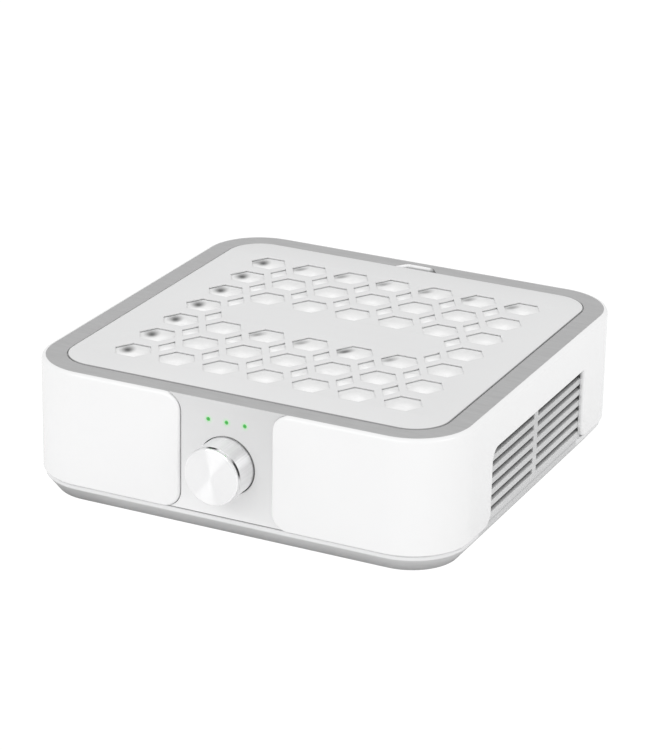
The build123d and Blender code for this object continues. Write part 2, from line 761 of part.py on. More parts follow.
with BuildPart() as impeller:
    with BuildSketch(level(impeller_z)):
        with BuildSketch(mode=Mode.PRIVATE) as blade:
            with BuildLine():
                SagittaArc(
                    (blade_inner_radius, 0), (blade_tip * cos(sweep), -blade_tip * sin(sweep)), blade_bow
                )
            trace(line_width=blade_thickness)
        with PolarLocations(0, blade_count):
            add(blade.sketch)
    extrude(amount=impeller_height)
    with BuildSketch(section()):
        Polygon(
            (blade_inner_radius - blade_thickness, impeller_z),
            (impeller_radius, impeller_z),
            (impeller_radius, outlet_z),
            (eye_radius + shroud_bend, shroud_z),
            (blade_inner_radius - blade_thickness, shroud_z - 2 * impeller_plate),
            align=None,
        )
    revolve(axis=centre_axis, mode=Mode.INTERSECT)
    with BuildSketch(level(impeller_z)):
        Circle(impeller_radius)
        Circle(rotor_radius + screw_fit, mode=Mode.SUBTRACT)
    extrude(amount=impeller_plate)
    with BuildSketch(section()):
        with BuildLine():
            lip = Line((eye_radius, eye_z), (eye_radius, shroud_z + shroud_bend))
            bend = RadiusArc(lip @ 1, (eye_radius + shroud_bend, shroud_z), -shroud_bend)
            Line(bend @ 1, (blade_tip, outlet_z))
        trace(line_width=impeller_plate)
    revolve(axis=centre_axis)
    with BuildSketch(level(impeller_z)):
        Circle(rotor_radius + screw_fit + hub_wall)
        Circle(rotor_radius + screw_fit, mode=Mode.SUBTRACT)
    extrude(amount=rotor_top_z - impeller_z)
    with BuildSketch(level(rotor_top_z)):
        Circle(rotor_radius + screw_fit + hub_wall)
        Circle(spindle_radius + rotor_fit, mode=Mode.SUBTRACT)
    extrude(amount=hub_wall)
    fillet(
        impeller.edges().filter_by(GeomType.CIRCLE)
        .filter_by_position(Axis.Z, hub_top_z - rotor_fit, hub_top_z + rotor_fit)
        .sort_by(SortBy.RADIUS)[-1],
        hub_wall / 2,
    )
write(impeller, "impeller")

# ---- Motor: rotor cup with its magnets over a wound stator on a bracket --------------------------
magnet_radius = rotor_radius - rotor_wall
stator_radius = magnet_radius - magnet_wall - air_gap
stator_z = bracket_z + bracket_thickness + coil_gap + coil_wall + stator_lift
core_ring_radius = tube_radius + core_wall
tube_top_z = stator_z + stator_height + bearing_height
tooth_step = 360 / stator_teeth

with BuildPart() as rotor_cup:
    with BuildSketch(level(rotor_z)):
        Circle(rotor_radius)
    extrude(amount=rotor_height)
    fillet(rotor_cup.edges().group_by(Axis.Z)[-1], rotor_wall / 2)
    with BuildSketch(level(rotor_z)):
        Circle(magnet_radius)
    extrude(amount=rotor_height - rotor_wall, mode=Mode.SUBTRACT)
    with BuildSketch(level(rotor_z)):
        Circle(spindle_radius + rotor_fit)
    extrude(amount=rotor_height, mode=Mode.SUBTRACT)
write(rotor_cup, "rotor_cup")

with BuildPart() as rotor_magnet:
    with BuildSketch(level(rotor_z + rotor_fit)):
        Circle(magnet_radius - rotor_fit)
        Circle(magnet_radius - magnet_wall, mode=Mode.SUBTRACT)
    extrude(amount=stator_z + stator_height - rotor_z)
write(rotor_magnet, "rotor_magnet")

with BuildPart() as stator_core:
    with BuildSketch(level(stator_z)):
        Circle(stator_radius)
        Circle(stator_radius - tooth_shoe, mode=Mode.SUBTRACT)
        with PolarLocations(stator_radius - tooth_shoe / 2, stator_teeth, start_angle=tooth_step / 2):
            Rectangle(2 * tooth_shoe, shoe_slot, mode=Mode.SUBTRACT)
        with PolarLocations((stator_radius - tooth_shoe / 2) / 2, stator_teeth):
            Rectangle(stator_radius - tooth_shoe / 2, tooth_width)
        Circle(core_ring_radius)
        Circle(tube_radius + rotor_fit, mode=Mode.SUBTRACT)
    extrude(amount=stator_height)
write(stator_core, "stator_core")

coil_width = tooth_width + 2 * (coil_gap + coil_wall)
coil_inner = core_ring_radius + coil_gap
coil_outer = sqrt((stator_radius - tooth_shoe - coil_gap) ** 2 - (coil_width / 2) ** 2)
with BuildPart() as motor_coils:
    with BuildSketch(level(stator_z - coil_gap - coil_wall)):
        with PolarLocations((coil_inner + coil_outer) / 2, stator_teeth):
            Rectangle(coil_outer - coil_inner, coil_width)
    extrude(amount=stator_height + 2 * (coil_gap + coil_wall))
    with BuildSketch(level(stator_z - coil_gap)):
        with PolarLocations((coil_inner + coil_outer) / 2, stator_teeth):
            Rectangle(2 * coil_gap + coil_outer - coil_inner, tooth_width + 2 * coil_gap)
    extrude(amount=stator_height + 2 * coil_gap, mode=Mode.SUBTRACT)
write(motor_coils, "motor_coils")

lower_bearing_z = bracket_z + bearing_inset
upper_bearing_z = tube_top_z - bearing_inset - bearing_height
with BuildPart() as motor_bracket:
    with BuildSketch(level(bracket_z)):
        Circle(bracket_radius)
    extrude(amount=bracket_thickness)
    with BuildSketch(level(bracket_z)):
        Circle(tube_radius)
    extrude(amount=tube_top_z - bracket_z)
    with BuildSketch(level(bracket_z)):
        Circle(bearing_radius - bearing_shoulder)
    extrude(amount=tube_top_z - bracket_z, mode=Mode.SUBTRACT)
    with BuildSketch(level(bracket_z)):
        Circle(bearing_radius)
    extrude(amount=bearing_inset + bearing_height, mode=Mode.SUBTRACT)
    with BuildSketch(level(upper_bearing_z)):
        Circle(bearing_radius)
    extrude(amount=bearing_height + bearing_inset, mode=Mode.SUBTRACT)
    with BuildSketch(level(bracket_z)):
        with PolarLocations(motor_screw_circle, motor_screw_count):
            Circle(screw_radius + 2 * screw_fit)
    extrude(amount=bracket_thickness, mode=Mode.SUBTRACT)
write(motor_bracket, "motor_bracket")
screws(
    level(bracket_z + bracket_thickness),
    [
        (motor_screw_circle * cos(angle), motor_screw_circle * sin(angle))
        for angle in [radians(n * 360 / motor_screw_count) for n in range(motor_screw_count)]
    ],
    motor_screw_length,
    "motor_screws",
)

with BuildPart() as motor_bearings:
    for bearing_z in (lower_bearing_z, upper_bearing_z):
        with BuildSketch(level(bearing_z)):
            Circle(bearing_radius - rotor_fit)
            Circle(spindle_radius + spindle_fit, mode=Mode.SUBTRACT)
        extrude(amount=bearing_height)
write(motor_bearings, "motor_bearings")

with BuildPart() as motor_spindle:
    with BuildSketch(level(lower_bearing_z)):
        Circle(spindle_radius)
    extrude(amount=hub_top_z - lower_bearing_z)
    chamfer(motor_spindle.edges().group_by(Axis.Z)[-1], spindle_radius / 5)
write(motor_spindle, "motor_spindle")

# ---- Louvre panels: one each side, with two banks of slanted slots -------------------------------
slot_reach = (louvre_thickness + slot_height) / cos(radians(slot_slant))


def louvre(side, name):
    """One vent panel, flush with the inner frame's outside."""
    with BuildPart() as panel:
        with BuildSketch(facing_side(side, louvre_face)) as outline:
            with Locations((0, rim_z)):
                Rectangle(louvre_width, louvre_top_z - rim_z, align=(Align.CENTER, Align.MIN))
            fillet(outline.vertices().group_by(Axis.Y)[-1], louvre_overlap / 2)
        extrude(amount=-louvre_thickness)
        with BuildSketch(facing_side(side, louvre_face)):
            for n in range(slot_count):
                slot_z = deck_top_z - slot_drop - n * slot_pitch
                slot_y = (louvre_rib + slot_length) / 2
                with Locations((slot_y, slot_z), (-slot_y, slot_z)):
                    Rectangle(slot_length, slot_height)
        extrude(
            amount=slot_reach,
            dir=(-side * cos(radians(slot_slant)), 0, sin(radians(slot_slant))),
            mode=Mode.SUBTRACT,
        )
    write(panel, name)


louvre(1, "louvre_right")
louvre(-1, "louvre_left")

# ---- Control panel: raised face between the pads, and a plug that seats in the frame's window -----
with BuildPart() as control_panel:
    with BuildSketch(facing_front(panel_setback)):
        between_pads(panel_gap, shell_lift)
        with Locations((0, panel_z)):
            Rectangle(body_size, deck_top_z - panel_z, align=(Align.CENTER, Align.MIN), mode=Mode.INTERSECT)
    extrude(amount=-(louvre_face - panel_setback))
    with BuildSketch(facing_front(louvre_face, (plug_low_z + plug_high_z) / 2)):
        Rectangle(panel_plug_width, plug_high_z - plug_low_z)
    extrude(amount=-panel_plug_depth)
    fillet(control_panel.edges().filter_by(Axis.X).group_by(Axis.Z)[-1].sort_by(Axis.Y)[0], panel_round)
    with BuildSketch(facing_front(panel_setback, knob_z)):
        Circle(knob_hole_radius)
    extrude(amount=-(louvre_face + panel_plug_depth), mode=Mode.SUBTRACT)
    with BuildSketch(facing_front(panel_setback, led_z)):
        with GridLocations(led_pitch, 1, led_count, 1):
            Circle(led_radius + led_fit)
    extrude(amount=-(louvre_face + panel_plug_depth), mode=Mode.SUBTRACT)
write(control_panel, "control_panel")

# ---- Control board, light pipes and potentiometer behind the panel -------------------------------
board_face_y = control_board_y - board_thickness
board_low_z = plug_low_z + control_board_border
board_high_z = plug_high_z - control_board_border / 2
board_depth = half + board_face_y  # board's face behind the shell's front

with BuildPart() as control_board:
    with BuildSketch(facing_front(board_depth, (board_low_z + board_high_z) / 2)):
        Rectangle(control_board_width, board_high_z - board_low_z)
    extrude(amount=-board_thickness)
write(control_board, "control_board")

with BuildPart() as led_lenses:
    with BuildSketch(facing_front(panel_setback, led_z)):
        with GridLocations(led_pitch, 1, led_count, 1):
            Circle(led_radius)
    extrude(amount=-(board_depth - panel_setback))
write(led_lenses, "led_lenses")

with BuildPart() as potentiometer:
    with BuildSketch(facing_front(board_depth - pot_depth, knob_z)):
        RectangleRounded(pot_width, pot_width, pot_round)
    extrude(amount=-pot_depth)
    with BuildSketch(facing_front(board_depth - pot_depth, knob_z)):
        Circle(pot_bush_radius)
    extrude(amount=pot_bush_length)
    with BuildSketch(facing_front(board_depth - pot_depth - pot_bush_length, knob_z)):
        Circle(shaft_radius + shaft_fit)
    extrude(amount=-(pot_depth + pot_bush_length), mode=Mode.SUBTRACT)
write(potentiometer, "potentiometer")

# ---- Knob: turned aluminium cap on a plastic core, on the potentiometer's flatted shaft ----------
knob_tail_depth = panel_setback + knob_tail
core_radius_knob = knob_radius - knob_wall
knob_length = knob_reach + knob_tail_depth

with BuildPart() as knob_cap:
    with BuildSketch(facing_front(-knob_reach, knob_z)):
        Circle(knob_collar_radius)
    extrude(amount=-knob_collar_length)
    chamfer(knob_cap.edges().group_by(Axis.Y)[0], knob_bevel)
    with BuildSketch(facing_front(-knob_reach, knob_z)):
        Circle(knob_radius - knob_groove)
    extrude(amount=-(knob_collar_length + knob_groove))
    with BuildSketch(facing_front(-knob_reach + knob_collar_length + knob_groove, knob_z)):
        Circle(knob_radius)
    extrude(amount=-(knob_length - knob_collar_length - knob_groove))
    with BuildSketch(facing_front(knob_tail_depth, knob_z)):
        Circle(core_radius_knob)
    extrude(amount=knob_length - knob_wall, mode=Mode.SUBTRACT)
write(knob_cap, "knob_cap")

with BuildPart() as knob_core:
    with BuildSketch(facing_front(knob_tail_depth, knob_z)):
        Circle(core_radius_knob - knob_core_gap)
    extrude(amount=knob_length - knob_wall)
    with BuildSketch(facing_front(knob_tail_depth, knob_z)):
        Circle(shaft_radius + rotor_fit)
        with Locations((0, shaft_radius)):
            Rectangle(
                2 * shaft_radius, shaft_flat - rotor_fit, align=(Align.CENTER, Align.MAX), mode=Mode.SUBTRACT
            )
    extrude(amount=shaft_engagement, mode=Mode.SUBTRACT)
write(knob_core, "knob_core")

with BuildPart() as knob_shaft:
    with BuildSketch(facing_front(board_depth - board_gap, knob_z)):
        Circle(shaft_radius)
    extrude(amount=board_depth - board_gap - knob_tail_depth)
    with BuildSketch(facing_front(knob_tail_depth, knob_z)):
        Circle(shaft_radius)
        with Locations((0, shaft_radius)):
            Rectangle(2 * shaft_radius, shaft_flat, align=(Align.CENTER, Align.MAX), mode=Mode.SUBTRACT)
    extrude(amount=shaft_engagement - board_gap)
write(knob_shaft, "knob_shaft")

# ---- Power inlet: a barrel jack held in the back wall, and the main board ------------------------
with BuildPart() as dc_jack:
    with BuildSketch(facing_back(louvre_face, jack_height)):
        with Locations((-jack_x, 0)):
            RectangleRounded(jack_flange, jack_flange, jack_flange_round)
    extrude(amount=jack_flange_thickness)
    with BuildSketch(facing_back(louvre_face, jack_height)):
        with Locations((-jack_x, 0)):
            Circle(jack_radius)
    extrude(amount=-jack_length)
    with BuildSketch(facing_back(louvre_face - jack_flange_thickness, jack_height)):
        with Locations((-jack_x, 0)):
            Circle(jack_bore_radius)
    extrude(amount=-jack_bore_depth, mode=Mode.SUBTRACT)
write(dc_jack, "dc_jack")

with BuildPart() as jack_pin:
    with BuildSketch(facing_back(louvre_face - jack_flange_thickness + jack_bore_depth, jack_height)):
        with Locations((-jack_x, 0)):
            Circle(jack_pin_radius)
    extrude(amount=jack_pin_length)
    fillet(jack_pin.edges().group_by(Axis.Y)[-1], jack_pin_radius / 2)
write(jack_pin, "jack_pin")

main_board_z = tray_floor_z + main_board_lift
board_screw_places = [
    (x, main_board_y + y)
    for x, y in corners(main_board_width / 2 - main_board_inset, main_board_depth / 2 - main_board_inset)
]
with BuildPart() as main_board:
    with BuildSketch(level(main_board_z)):
        with Locations((0, main_board_y)):
            Rectangle(main_board_width, main_board_depth)
        with Locations(*board_screw_places):
            Circle(screw_radius + 2 * screw_fit, mode=Mode.SUBTRACT)
    extrude(amount=board_thickness)
write(main_board, "main_board")
screws(level(main_board_z + board_thickness), board_screw_places, board_screw_length, "board_screws")

component_z = main_board_z + board_thickness
with BuildPart() as board_components:
    with BuildSketch(level(component_z)):
        with Locations((0, main_board_y)):
            with GridLocations(capacitor_spacing, 1, 2, 1):
                Circle(capacitor_radius)
    extrude(amount=capacitor_height)
    with BuildSketch(level(component_z)):
        with Locations((main_board_width / 2 - main_board_inset - plug_width, main_board_y)):
            Rectangle(plug_width, plug_depth)
    extrude(amount=plug_height)
write(board_components, "board_components")
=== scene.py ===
"""Looks of a desk-top nail dust collector: white housing, honeycomb cover, side vents and a metal knob."""

import math

import bmesh
import bpy
from mathutils import Matrix, Vector


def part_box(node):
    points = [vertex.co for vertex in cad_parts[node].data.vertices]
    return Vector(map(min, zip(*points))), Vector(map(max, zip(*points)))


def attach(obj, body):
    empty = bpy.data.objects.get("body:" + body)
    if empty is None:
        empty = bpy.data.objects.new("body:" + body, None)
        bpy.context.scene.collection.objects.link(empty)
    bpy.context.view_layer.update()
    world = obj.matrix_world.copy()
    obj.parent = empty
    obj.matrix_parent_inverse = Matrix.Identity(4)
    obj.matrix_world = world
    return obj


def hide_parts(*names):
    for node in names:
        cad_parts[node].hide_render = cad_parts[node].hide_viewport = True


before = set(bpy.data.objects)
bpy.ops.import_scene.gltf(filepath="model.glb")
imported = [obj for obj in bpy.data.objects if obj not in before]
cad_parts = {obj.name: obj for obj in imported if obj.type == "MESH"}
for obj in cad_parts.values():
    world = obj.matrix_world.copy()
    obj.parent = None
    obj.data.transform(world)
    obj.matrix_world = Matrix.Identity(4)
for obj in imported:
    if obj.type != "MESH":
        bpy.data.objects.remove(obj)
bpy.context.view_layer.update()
mm = 0.001

# ---- Camera --------------------------------------------------------------------------------------
# A long lens a little above the table and to the right of the knob, as for a catalogue picture.
# It aims just in front of the middle of the top and leans by about one degree.
ring_low, ring_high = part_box("top_ring")
top_centre = Vector(((ring_low.x + ring_high.x) / 2, (ring_low.y + ring_high.y) / 2, ring_high.z))
azimuth = math.radians(25.68)
elevation = math.radians(21.6)
lean = math.radians(1.06)
distance = 1626.3 * mm
focal_length = 139.6
sensor_width = 36
aim = top_centre + Vector((28.5, -67.2, 0)) * mm


def bearing_of(around, above):
    """Direction from the object, by the angle round it from the front and the angle above the table."""
    return Vector((
        math.sin(around) * math.cos(above),
        -math.cos(around) * math.cos(above),
        math.sin(above),
    ))


def new_object(name, data):
    """Object in the scene with the given mesh, light, camera or curve."""
    made = bpy.data.objects.new(name, data)
    bpy.context.scene.collection.objects.link(made)
    return made


back = bearing_of(azimuth, elevation)
level_right = Vector((math.cos(azimuth), math.sin(azimuth), 0))
level_up = back.cross(level_right)
right = math.cos(lean) * level_right + math.sin(lean) * level_up
camera_data = bpy.data.cameras.new("catalogue_camera")
camera_data.lens = focal_length
camera_data.sensor_width = sensor_width
camera = new_object("catalogue_camera", camera_data)
placing = Matrix((right, back.cross(right), back)).transposed().to_4x4()
placing.translation = aim + back * distance
camera.matrix_world = placing
bpy.context.scene.camera = camera

# ---- Floor and light -----------------------------------------------------------------------------
# A white light table: the camera sees it evenly lit, and it throws back most of the light that
# falls on it. Two large soft boxes help the white room: a wide one in front, a dimmer one to the right.
floor_reach = 6.0
table_white = (0.95, 0.95, 0.95, 1)
pure_white = (1, 1, 1, 1)
seen_strength = 1.05
room_strength = 0.87
floor_mesh = bpy.data.meshes.new("light_table")
floor_mesh.from_pydata(
    [(x * floor_reach, y * floor_reach, 0) for x, y in ((-1, -1), (1, -1), (1, 1), (-1, 1))],
    [],
    [(0, 1, 2, 3)],
)
floor = new_object("light_table", floor_mesh)


def lit_to_the_camera(tree, bounced, output):
    """Show a pure white to the camera and something dimmer to the object."""
    is_material = output.type == "OUTPUT_MATERIAL"
    seen = tree.nodes.new("ShaderNodeEmission" if is_material else "ShaderNodeBackground")
    seen.inputs["Color"].default_value = pure_white
    seen.inputs["Strength"].default_value = seen_strength
    path = tree.nodes.new("ShaderNodeLightPath")
    choice = tree.nodes.new("ShaderNodeMixShader")
    tree.links.new(path.outputs["Is Camera Ray"], choice.inputs["Fac"])
    tree.links.new(bounced, choice.inputs[1])
    tree.links.new(seen.outputs[0], choice.inputs[2])
    tree.links.new(choice.outputs["Shader"], output.inputs["Surface"])


table_top = bpy.data.materials.new("light_table_top")
table_top.use_nodes = True
table_nodes = table_top.node_tree.nodes
table_shader = table_nodes["Principled BSDF"]
table_shader.inputs["Base Color"].default_value = table_white
table_shader.inputs["Roughness"].default_value = 0.9
lit_to_the_camera(table_top.node_tree, table_shader.outputs["BSDF"], table_nodes["Material Output"])
floor_mesh.materials.append(table_top)

room = bpy.data.worlds.new("white_room")
room.use_nodes = True
walls = room.node_tree.nodes["Background"]
walls.inputs["Color"].default_value = pure_white
walls.inputs["Strength"].default_value = room_strength
lit_to_the_camera(room.node_tree, walls.outputs["Background"], room.node_tree.nodes["World Output"])
bpy.context.scene.world = room
bpy.context.scene.view_settings.view_transform = "Standard"


def soft_box(name, around, above, away, width, height, power):
    """A soft light, placed by its bearing and height angle from the object's top."""
    towards = bearing_of(math.radians(around), math.radians(above))
    data = bpy.data.lights.new(name, "AREA")
    data.shape = "RECTANGLE"
    data.size = width
    data.size_y = height
    data.energy = power
    light = new_object(name, data)
    light.location = top_centre + towards * away
    light.rotation_mode = "QUATERNION"
    light.rotation_quaternion = towards.to_track_quat("Z", "Y")


soft_box("front_box", around=-12, above=33, away=3.6, width=3.4, height=1.2, power=27)
soft_box("right_box", around=82, above=25, away=3.6, width=2.2, height=1.8, power=16)

# ---- Base tray -----------------------------------------------------------------------------------
# ABS tray under the housing, sprayed satin silver on its bevel. Its upright rim is left light grey,
# with painted shade under the vents. Every other piece stands in it.
tray_low, tray_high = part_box("base_tray")
tray_rim = 2.7 * mm
tray_silver = (0.42, 0.42, 0.422)
tray_silver_light = (0.47, 0.47, 0.472)
rim_grey = (0.79, 0.792, 0.796)
rim_grey_drifted = (0.77, 0.772, 0.776)
vent_grey = (0.6, 0.602, 0.605)
vent_half = 72 * mm
corner_shade_start = 12 * mm
corner_shade_end = 60 * mm


def new_finish(name, colour, roughness, metallic=0.0):
    """A material whose even values sit on its own shader; gives it with its node tree and shader."""
    finish = bpy.data.materials.new(name)
    finish.use_nodes = True
    shader = finish.node_tree.nodes["Principled BSDF"]
    shader.inputs["Base Color"].default_value = (*colour, 1)
    shader.inputs["Roughness"].default_value = roughness
    shader.inputs["Metallic"].default_value = metallic
    return finish, finish.node_tree, shader


def feed(socket, value):
    """Link a socket to another one, or set it to a plain number, colour or vector."""
    if isinstance(value, bpy.types.NodeSocket):
        socket.id_data.links.new(value, socket)
    else:
        socket.default_value = (*value, 1) if socket.type == "RGBA" else value


def on_the_piece(tree):
    """Place on the piece itself, in metres, so that a texture travels with the piece."""
    return tree.nodes.new("ShaderNodeTexCoord").outputs["Object"]


def axes_of(place):
    """The three coordinates of a place."""
    node = place.id_data.nodes.new("ShaderNodeSeparateXYZ")
    feed(node.inputs["Vector"], place)
    return node.outputs["X"], node.outputs["Y"], node.outputs["Z"]


def noise_at(place, scale, detail=2.0, distortion=0.0):
    """Noise node on a place, with a linked or plain scale."""
    node = place.id_data.nodes.new("ShaderNodeTexNoise")
    feed(node.inputs["Vector"], place)
    feed(node.inputs["Scale"], scale)
    feed(node.inputs["Detail"], detail)
    feed(node.inputs["Distortion"], distortion)
    return node.outputs["Fac"]


def spread(value, low, high, to_low=0.0, to_high=1.0):
    """Map Range node from low and high to two other ends; those may be sockets or numbers."""
    node = value.id_data.nodes.new("ShaderNodeMapRange")
    feed(node.inputs["Value"], value)
    feed(node.inputs["From Min"], low)
    feed(node.inputs["From Max"], high)
    feed(node.inputs["To Min"], to_low)
    feed(node.inputs["To Max"], to_high)
    return node.outputs["Result"]


def blend_colours(mask, first, second):
    """Mix node from one colour to another by a mask; each may be a socket or a colour."""
    node = mask.id_data.nodes.new("ShaderNodeMix")
    node.data_type = "RGBA"
    feed(node.inputs["Factor"], mask)
    feed(node.inputs["A"], first)
    feed(node.inputs["B"], second)
    return node.outputs["Result"]


def maths(kind, *parts):
    """Math node of one kind on sockets or numbers, in the tree of the first socket."""
    linked = [part for part in parts if isinstance(part, bpy.types.NodeSocket)]
    node = linked[0].id_data.nodes.new("ShaderNodeMath")
    node.operation = kind
    for socket, part in zip(node.inputs, parts):
        feed(socket, part)
    return node.outputs["Value"]


def product(first, *others):
    """Masks or amounts multiplied together."""
    for other in others:
        first = maths("MULTIPLY", first, other)
    return first


def off_centre(value, centre=0.0):
    """How far a value is from a centre, on either side."""
    return maths("ABSOLUTE", maths("SUBTRACT", value, centre) if centre else value)


def length_of(first, second):
    """Length of a flat offset given by its two parts."""
    squares = [maths("POWER", part, 2.0) for part in (first, second)]
    return maths("SQRT", maths("ADD", *squares))


def dimmed(colour, amount):
    """A colour made darker or lighter by an amount that varies."""
    node = colour.id_data.nodes.new("ShaderNodeVectorMath")
    node.operation = "SCALE"
    feed(node.inputs[0], colour)
    feed(node.inputs["Scale"], amount)
    return node.outputs["Vector"]


def relief(height, shader, depth):
    """Turn a height pattern into fine relief of a real depth on the shader's normal."""
    bump = height.id_data.nodes.new("ShaderNodeBump")
    feed(bump.inputs["Distance"], depth)
    feed(bump.inputs["Height"], height)
    feed(shader.inputs["Normal"], bump.outputs["Normal"])


def new_effect(name, inputs, outputs):
    """An empty shader group with named sockets; gives its tree, its inner inputs and inner outputs."""
    group = bpy.data.node_groups.new(name, "ShaderNodeTree")
    for label, kind, value in inputs:
        socket = group.interface.new_socket(label, in_out="INPUT", socket_type="NodeSocket" + kind)
        if value is not None:
            socket.default_value = value
    for label, kind in outputs:
        group.interface.new_socket(label, in_out="OUTPUT", socket_type="NodeSocket" + kind)
    entry = group.nodes.new("NodeGroupInput")
    leave = group.nodes.new("NodeGroupOutput")
    return group, entry.outputs, leave.inputs


def place_effect(tree, group, **values):
    """Put a shader group in a material with this material's own values; underscores stand for spaces."""
    node = tree.nodes.new("ShaderNodeGroup")
    node.node_tree = group
    for label, value in values.items():
        feed(node.inputs[label.replace("_", " ")], value)
    return node.outputs


def wear(shader, colour, effect, depth):
    """Give a shader its colour, and the gloss and relief of an effect."""
    feed(shader.inputs["Base Color"], colour)
    feed(shader.inputs["Roughness"], effect["Roughness"])
    relief(effect["Height"], shader, depth)


# Moulded plastic: a fine sparked grain, and a slow drift of colour and gloss from the mould's flow.
moulded_grain, given, result = new_effect(
    "moulded_grain",
    [
        ("Place", "Vector", None),
        ("Grain per metre", "Float", 3000.0),
        ("Drift per metre", "Float", 14.0),
        ("Colour", "Color", (0.8, 0.8, 0.8, 1)),
        ("Drifted colour", "Color", (0.7, 0.7, 0.7, 1)),
        ("Smooth", "Float", 0.3),
        ("Rough", "Float", 0.4),
    ],
    [("Colour", "Color"), ("Roughness", "Float"), ("Height", "Float")],
)
fine_grain = noise_at(given["Place"], given["Grain per metre"], 3.0)
slow_drift = noise_at(given["Place"], given["Drift per metre"])
drift_mask = spread(slow_drift, 0.35, 0.65)
unevenness = maths("ADD", slow_drift, fine_grain)
feed(result["Colour"], blend_colours(drift_mask, given["Colour"], given["Drifted colour"]))
feed(result["Roughness"], spread(unevenness, 0.75, 1.25, given["Smooth"], given["Rough"]))
feed(result["Height"], fine_grain)

# Sprayed silver: tiny bright and dark flakes under a satin lacquer with long faint rub marks.
silver_flakes, given, result = new_effect(
    "silver_flakes",
    [
        ("Place", "Vector", None),
        ("Flakes per metre", "Float", 5200.0),
        ("Dark", "Color", (0.3, 0.3, 0.3, 1)),
        ("Light", "Color", (0.5, 0.5, 0.5, 1)),
        ("Rub marks", "Vector", (40.0, 900.0, 900.0)),
    ],
    [("Colour", "Color"), ("Roughness", "Float"), ("Height", "Float")],
)
tree = silver_flakes
flake = tree.nodes.new("ShaderNodeTexVoronoi")
feed(flake.inputs["Vector"], given["Place"])
feed(flake.inputs["Scale"], given["Flakes per metre"])
flake_tone = tree.nodes.new("ShaderNodeSeparateColor")
feed(flake_tone.inputs["Color"], flake.outputs["Color"])
stretched = tree.nodes.new("ShaderNodeVectorMath")
stretched.operation = "MULTIPLY"
feed(stretched.inputs[0], given["Place"])
feed(stretched.inputs[1], given["Rub marks"])
rub = noise_at(stretched.outputs["Vector"], 1.0, 3.0)
rub_share = spread(rub, 0.3, 0.7, 0.0, 0.7)
flake_share = product(flake_tone.outputs["Red"], 0.3)
rub_and_flake = maths("ADD", rub_share, flake_share)
feed(result["Colour"], blend_colours(rub_and_flake, given["Dark"], given["Light"]))
feed(result["Roughness"], spread(rub, 0.3, 0.7, 0.34, 0.46))
feed(result["Height"], rub_and_flake)

# Painted light and shade: the silver is painted lighter towards the top of the bevel, and darker at the
# front left corner.
tray_finish, tree, shader = new_finish("tray_paint", tray_silver, 0.4)
place = on_the_piece(tree)
silver = place_effect(
    tree, silver_flakes, Place=place, Dark=tray_silver, Light=tray_silver_light, Rub_marks=(60, 60, 900)
)
grain = place_effect(tree, moulded_grain, Place=place, Colour=rim_grey, Drifted_colour=rim_grey_drifted)
tray_x, tray_y, tray_z = axes_of(place)
bevel_top = tray_high.z - tray_rim
rim_x = tray_high.x - tray_rim
rim_mask = spread(tray_z, bevel_top - 0.5 * mm, bevel_top + 0.6 * mm)
# Painted shade: under the vents the rim is painted the louvres' grey.
at_side = spread(off_centre(tray_x), rim_x, rim_x + 0.4 * mm)
painted_shade_along_vent = spread(off_centre(tray_y), vent_half, vent_half + 2 * mm, 1.0, 0.0)
rim_colour = blend_colours(product(at_side, painted_shade_along_vent), grain["Colour"], vent_grey)
from_corner = length_of(maths("SUBTRACT", tray_x, tray_low.x), maths("SUBTRACT", tray_y, tray_low.y))
# Painted light and shade on the bevel: lighter towards its top, darker at the front left corner.
painted_tray_shading = product(
    spread(tray_z, tray_low.z, bevel_top, 0.9, 1.28),
    spread(from_corner, corner_shade_start, corner_shade_end, 0.68, 1.0),
)
bevel_colour = dimmed(silver["Colour"], painted_tray_shading)
wear(shader, blend_colours(rim_mask, bevel_colour, rim_colour), silver, 0.01 * mm)


def dress(finish, *node_names):
    """Give CAD nodes their finish in place of the plain one."""
    for name in node_names:
        for material_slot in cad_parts[name].material_slots:
            material_slot.material = finish


dress(tray_finish, "base_tray")

# ---- Rubber feet and tray screws -----------------------------------------------------------------
# Four dull black rubber feet are pressed into recesses under the tray. Zinc-plated screws from below
# hold the tray to the frame's posts.


def grained(name, colour, roughness, metallic, effect, depth, even_gloss=False, **values):
    """A finish that takes its colour, relief and, unless the gloss is even, its gloss from one effect."""
    finish, tree, shader = new_finish(name, colour, roughness, metallic)
    made = place_effect(tree, effect, Place=on_the_piece(tree), **values)
    feed(shader.inputs["Base Color"], made["Colour"])
    if not even_gloss:
        feed(shader.inputs["Roughness"], made["Roughness"])
    relief(made["Height"], shader, depth)
    return finish


rubber = grained(
    "black_rubber", (0.03, 0.03, 0.03), 0.8, 0.0, moulded_grain, 0.08 * mm, Grain_per_metre=1400.0,
    Colour=(0.028, 0.028, 0.028), Drifted_colour=(0.045, 0.045, 0.044), Smooth=0.72, Rough=0.9,
)
dress(rubber, "rubber_feet")
zinc = grained(
    "zinc_plate", (0.55, 0.55, 0.56), 0.35, 1.0, silver_flakes, 0.02 * mm, Flakes_per_metre=2600.0,
    Dark=(0.46, 0.465, 0.48), Light=(0.66, 0.655, 0.64), Rub_marks=(700, 700, 700),
)
dress(zinc, "base_screws")

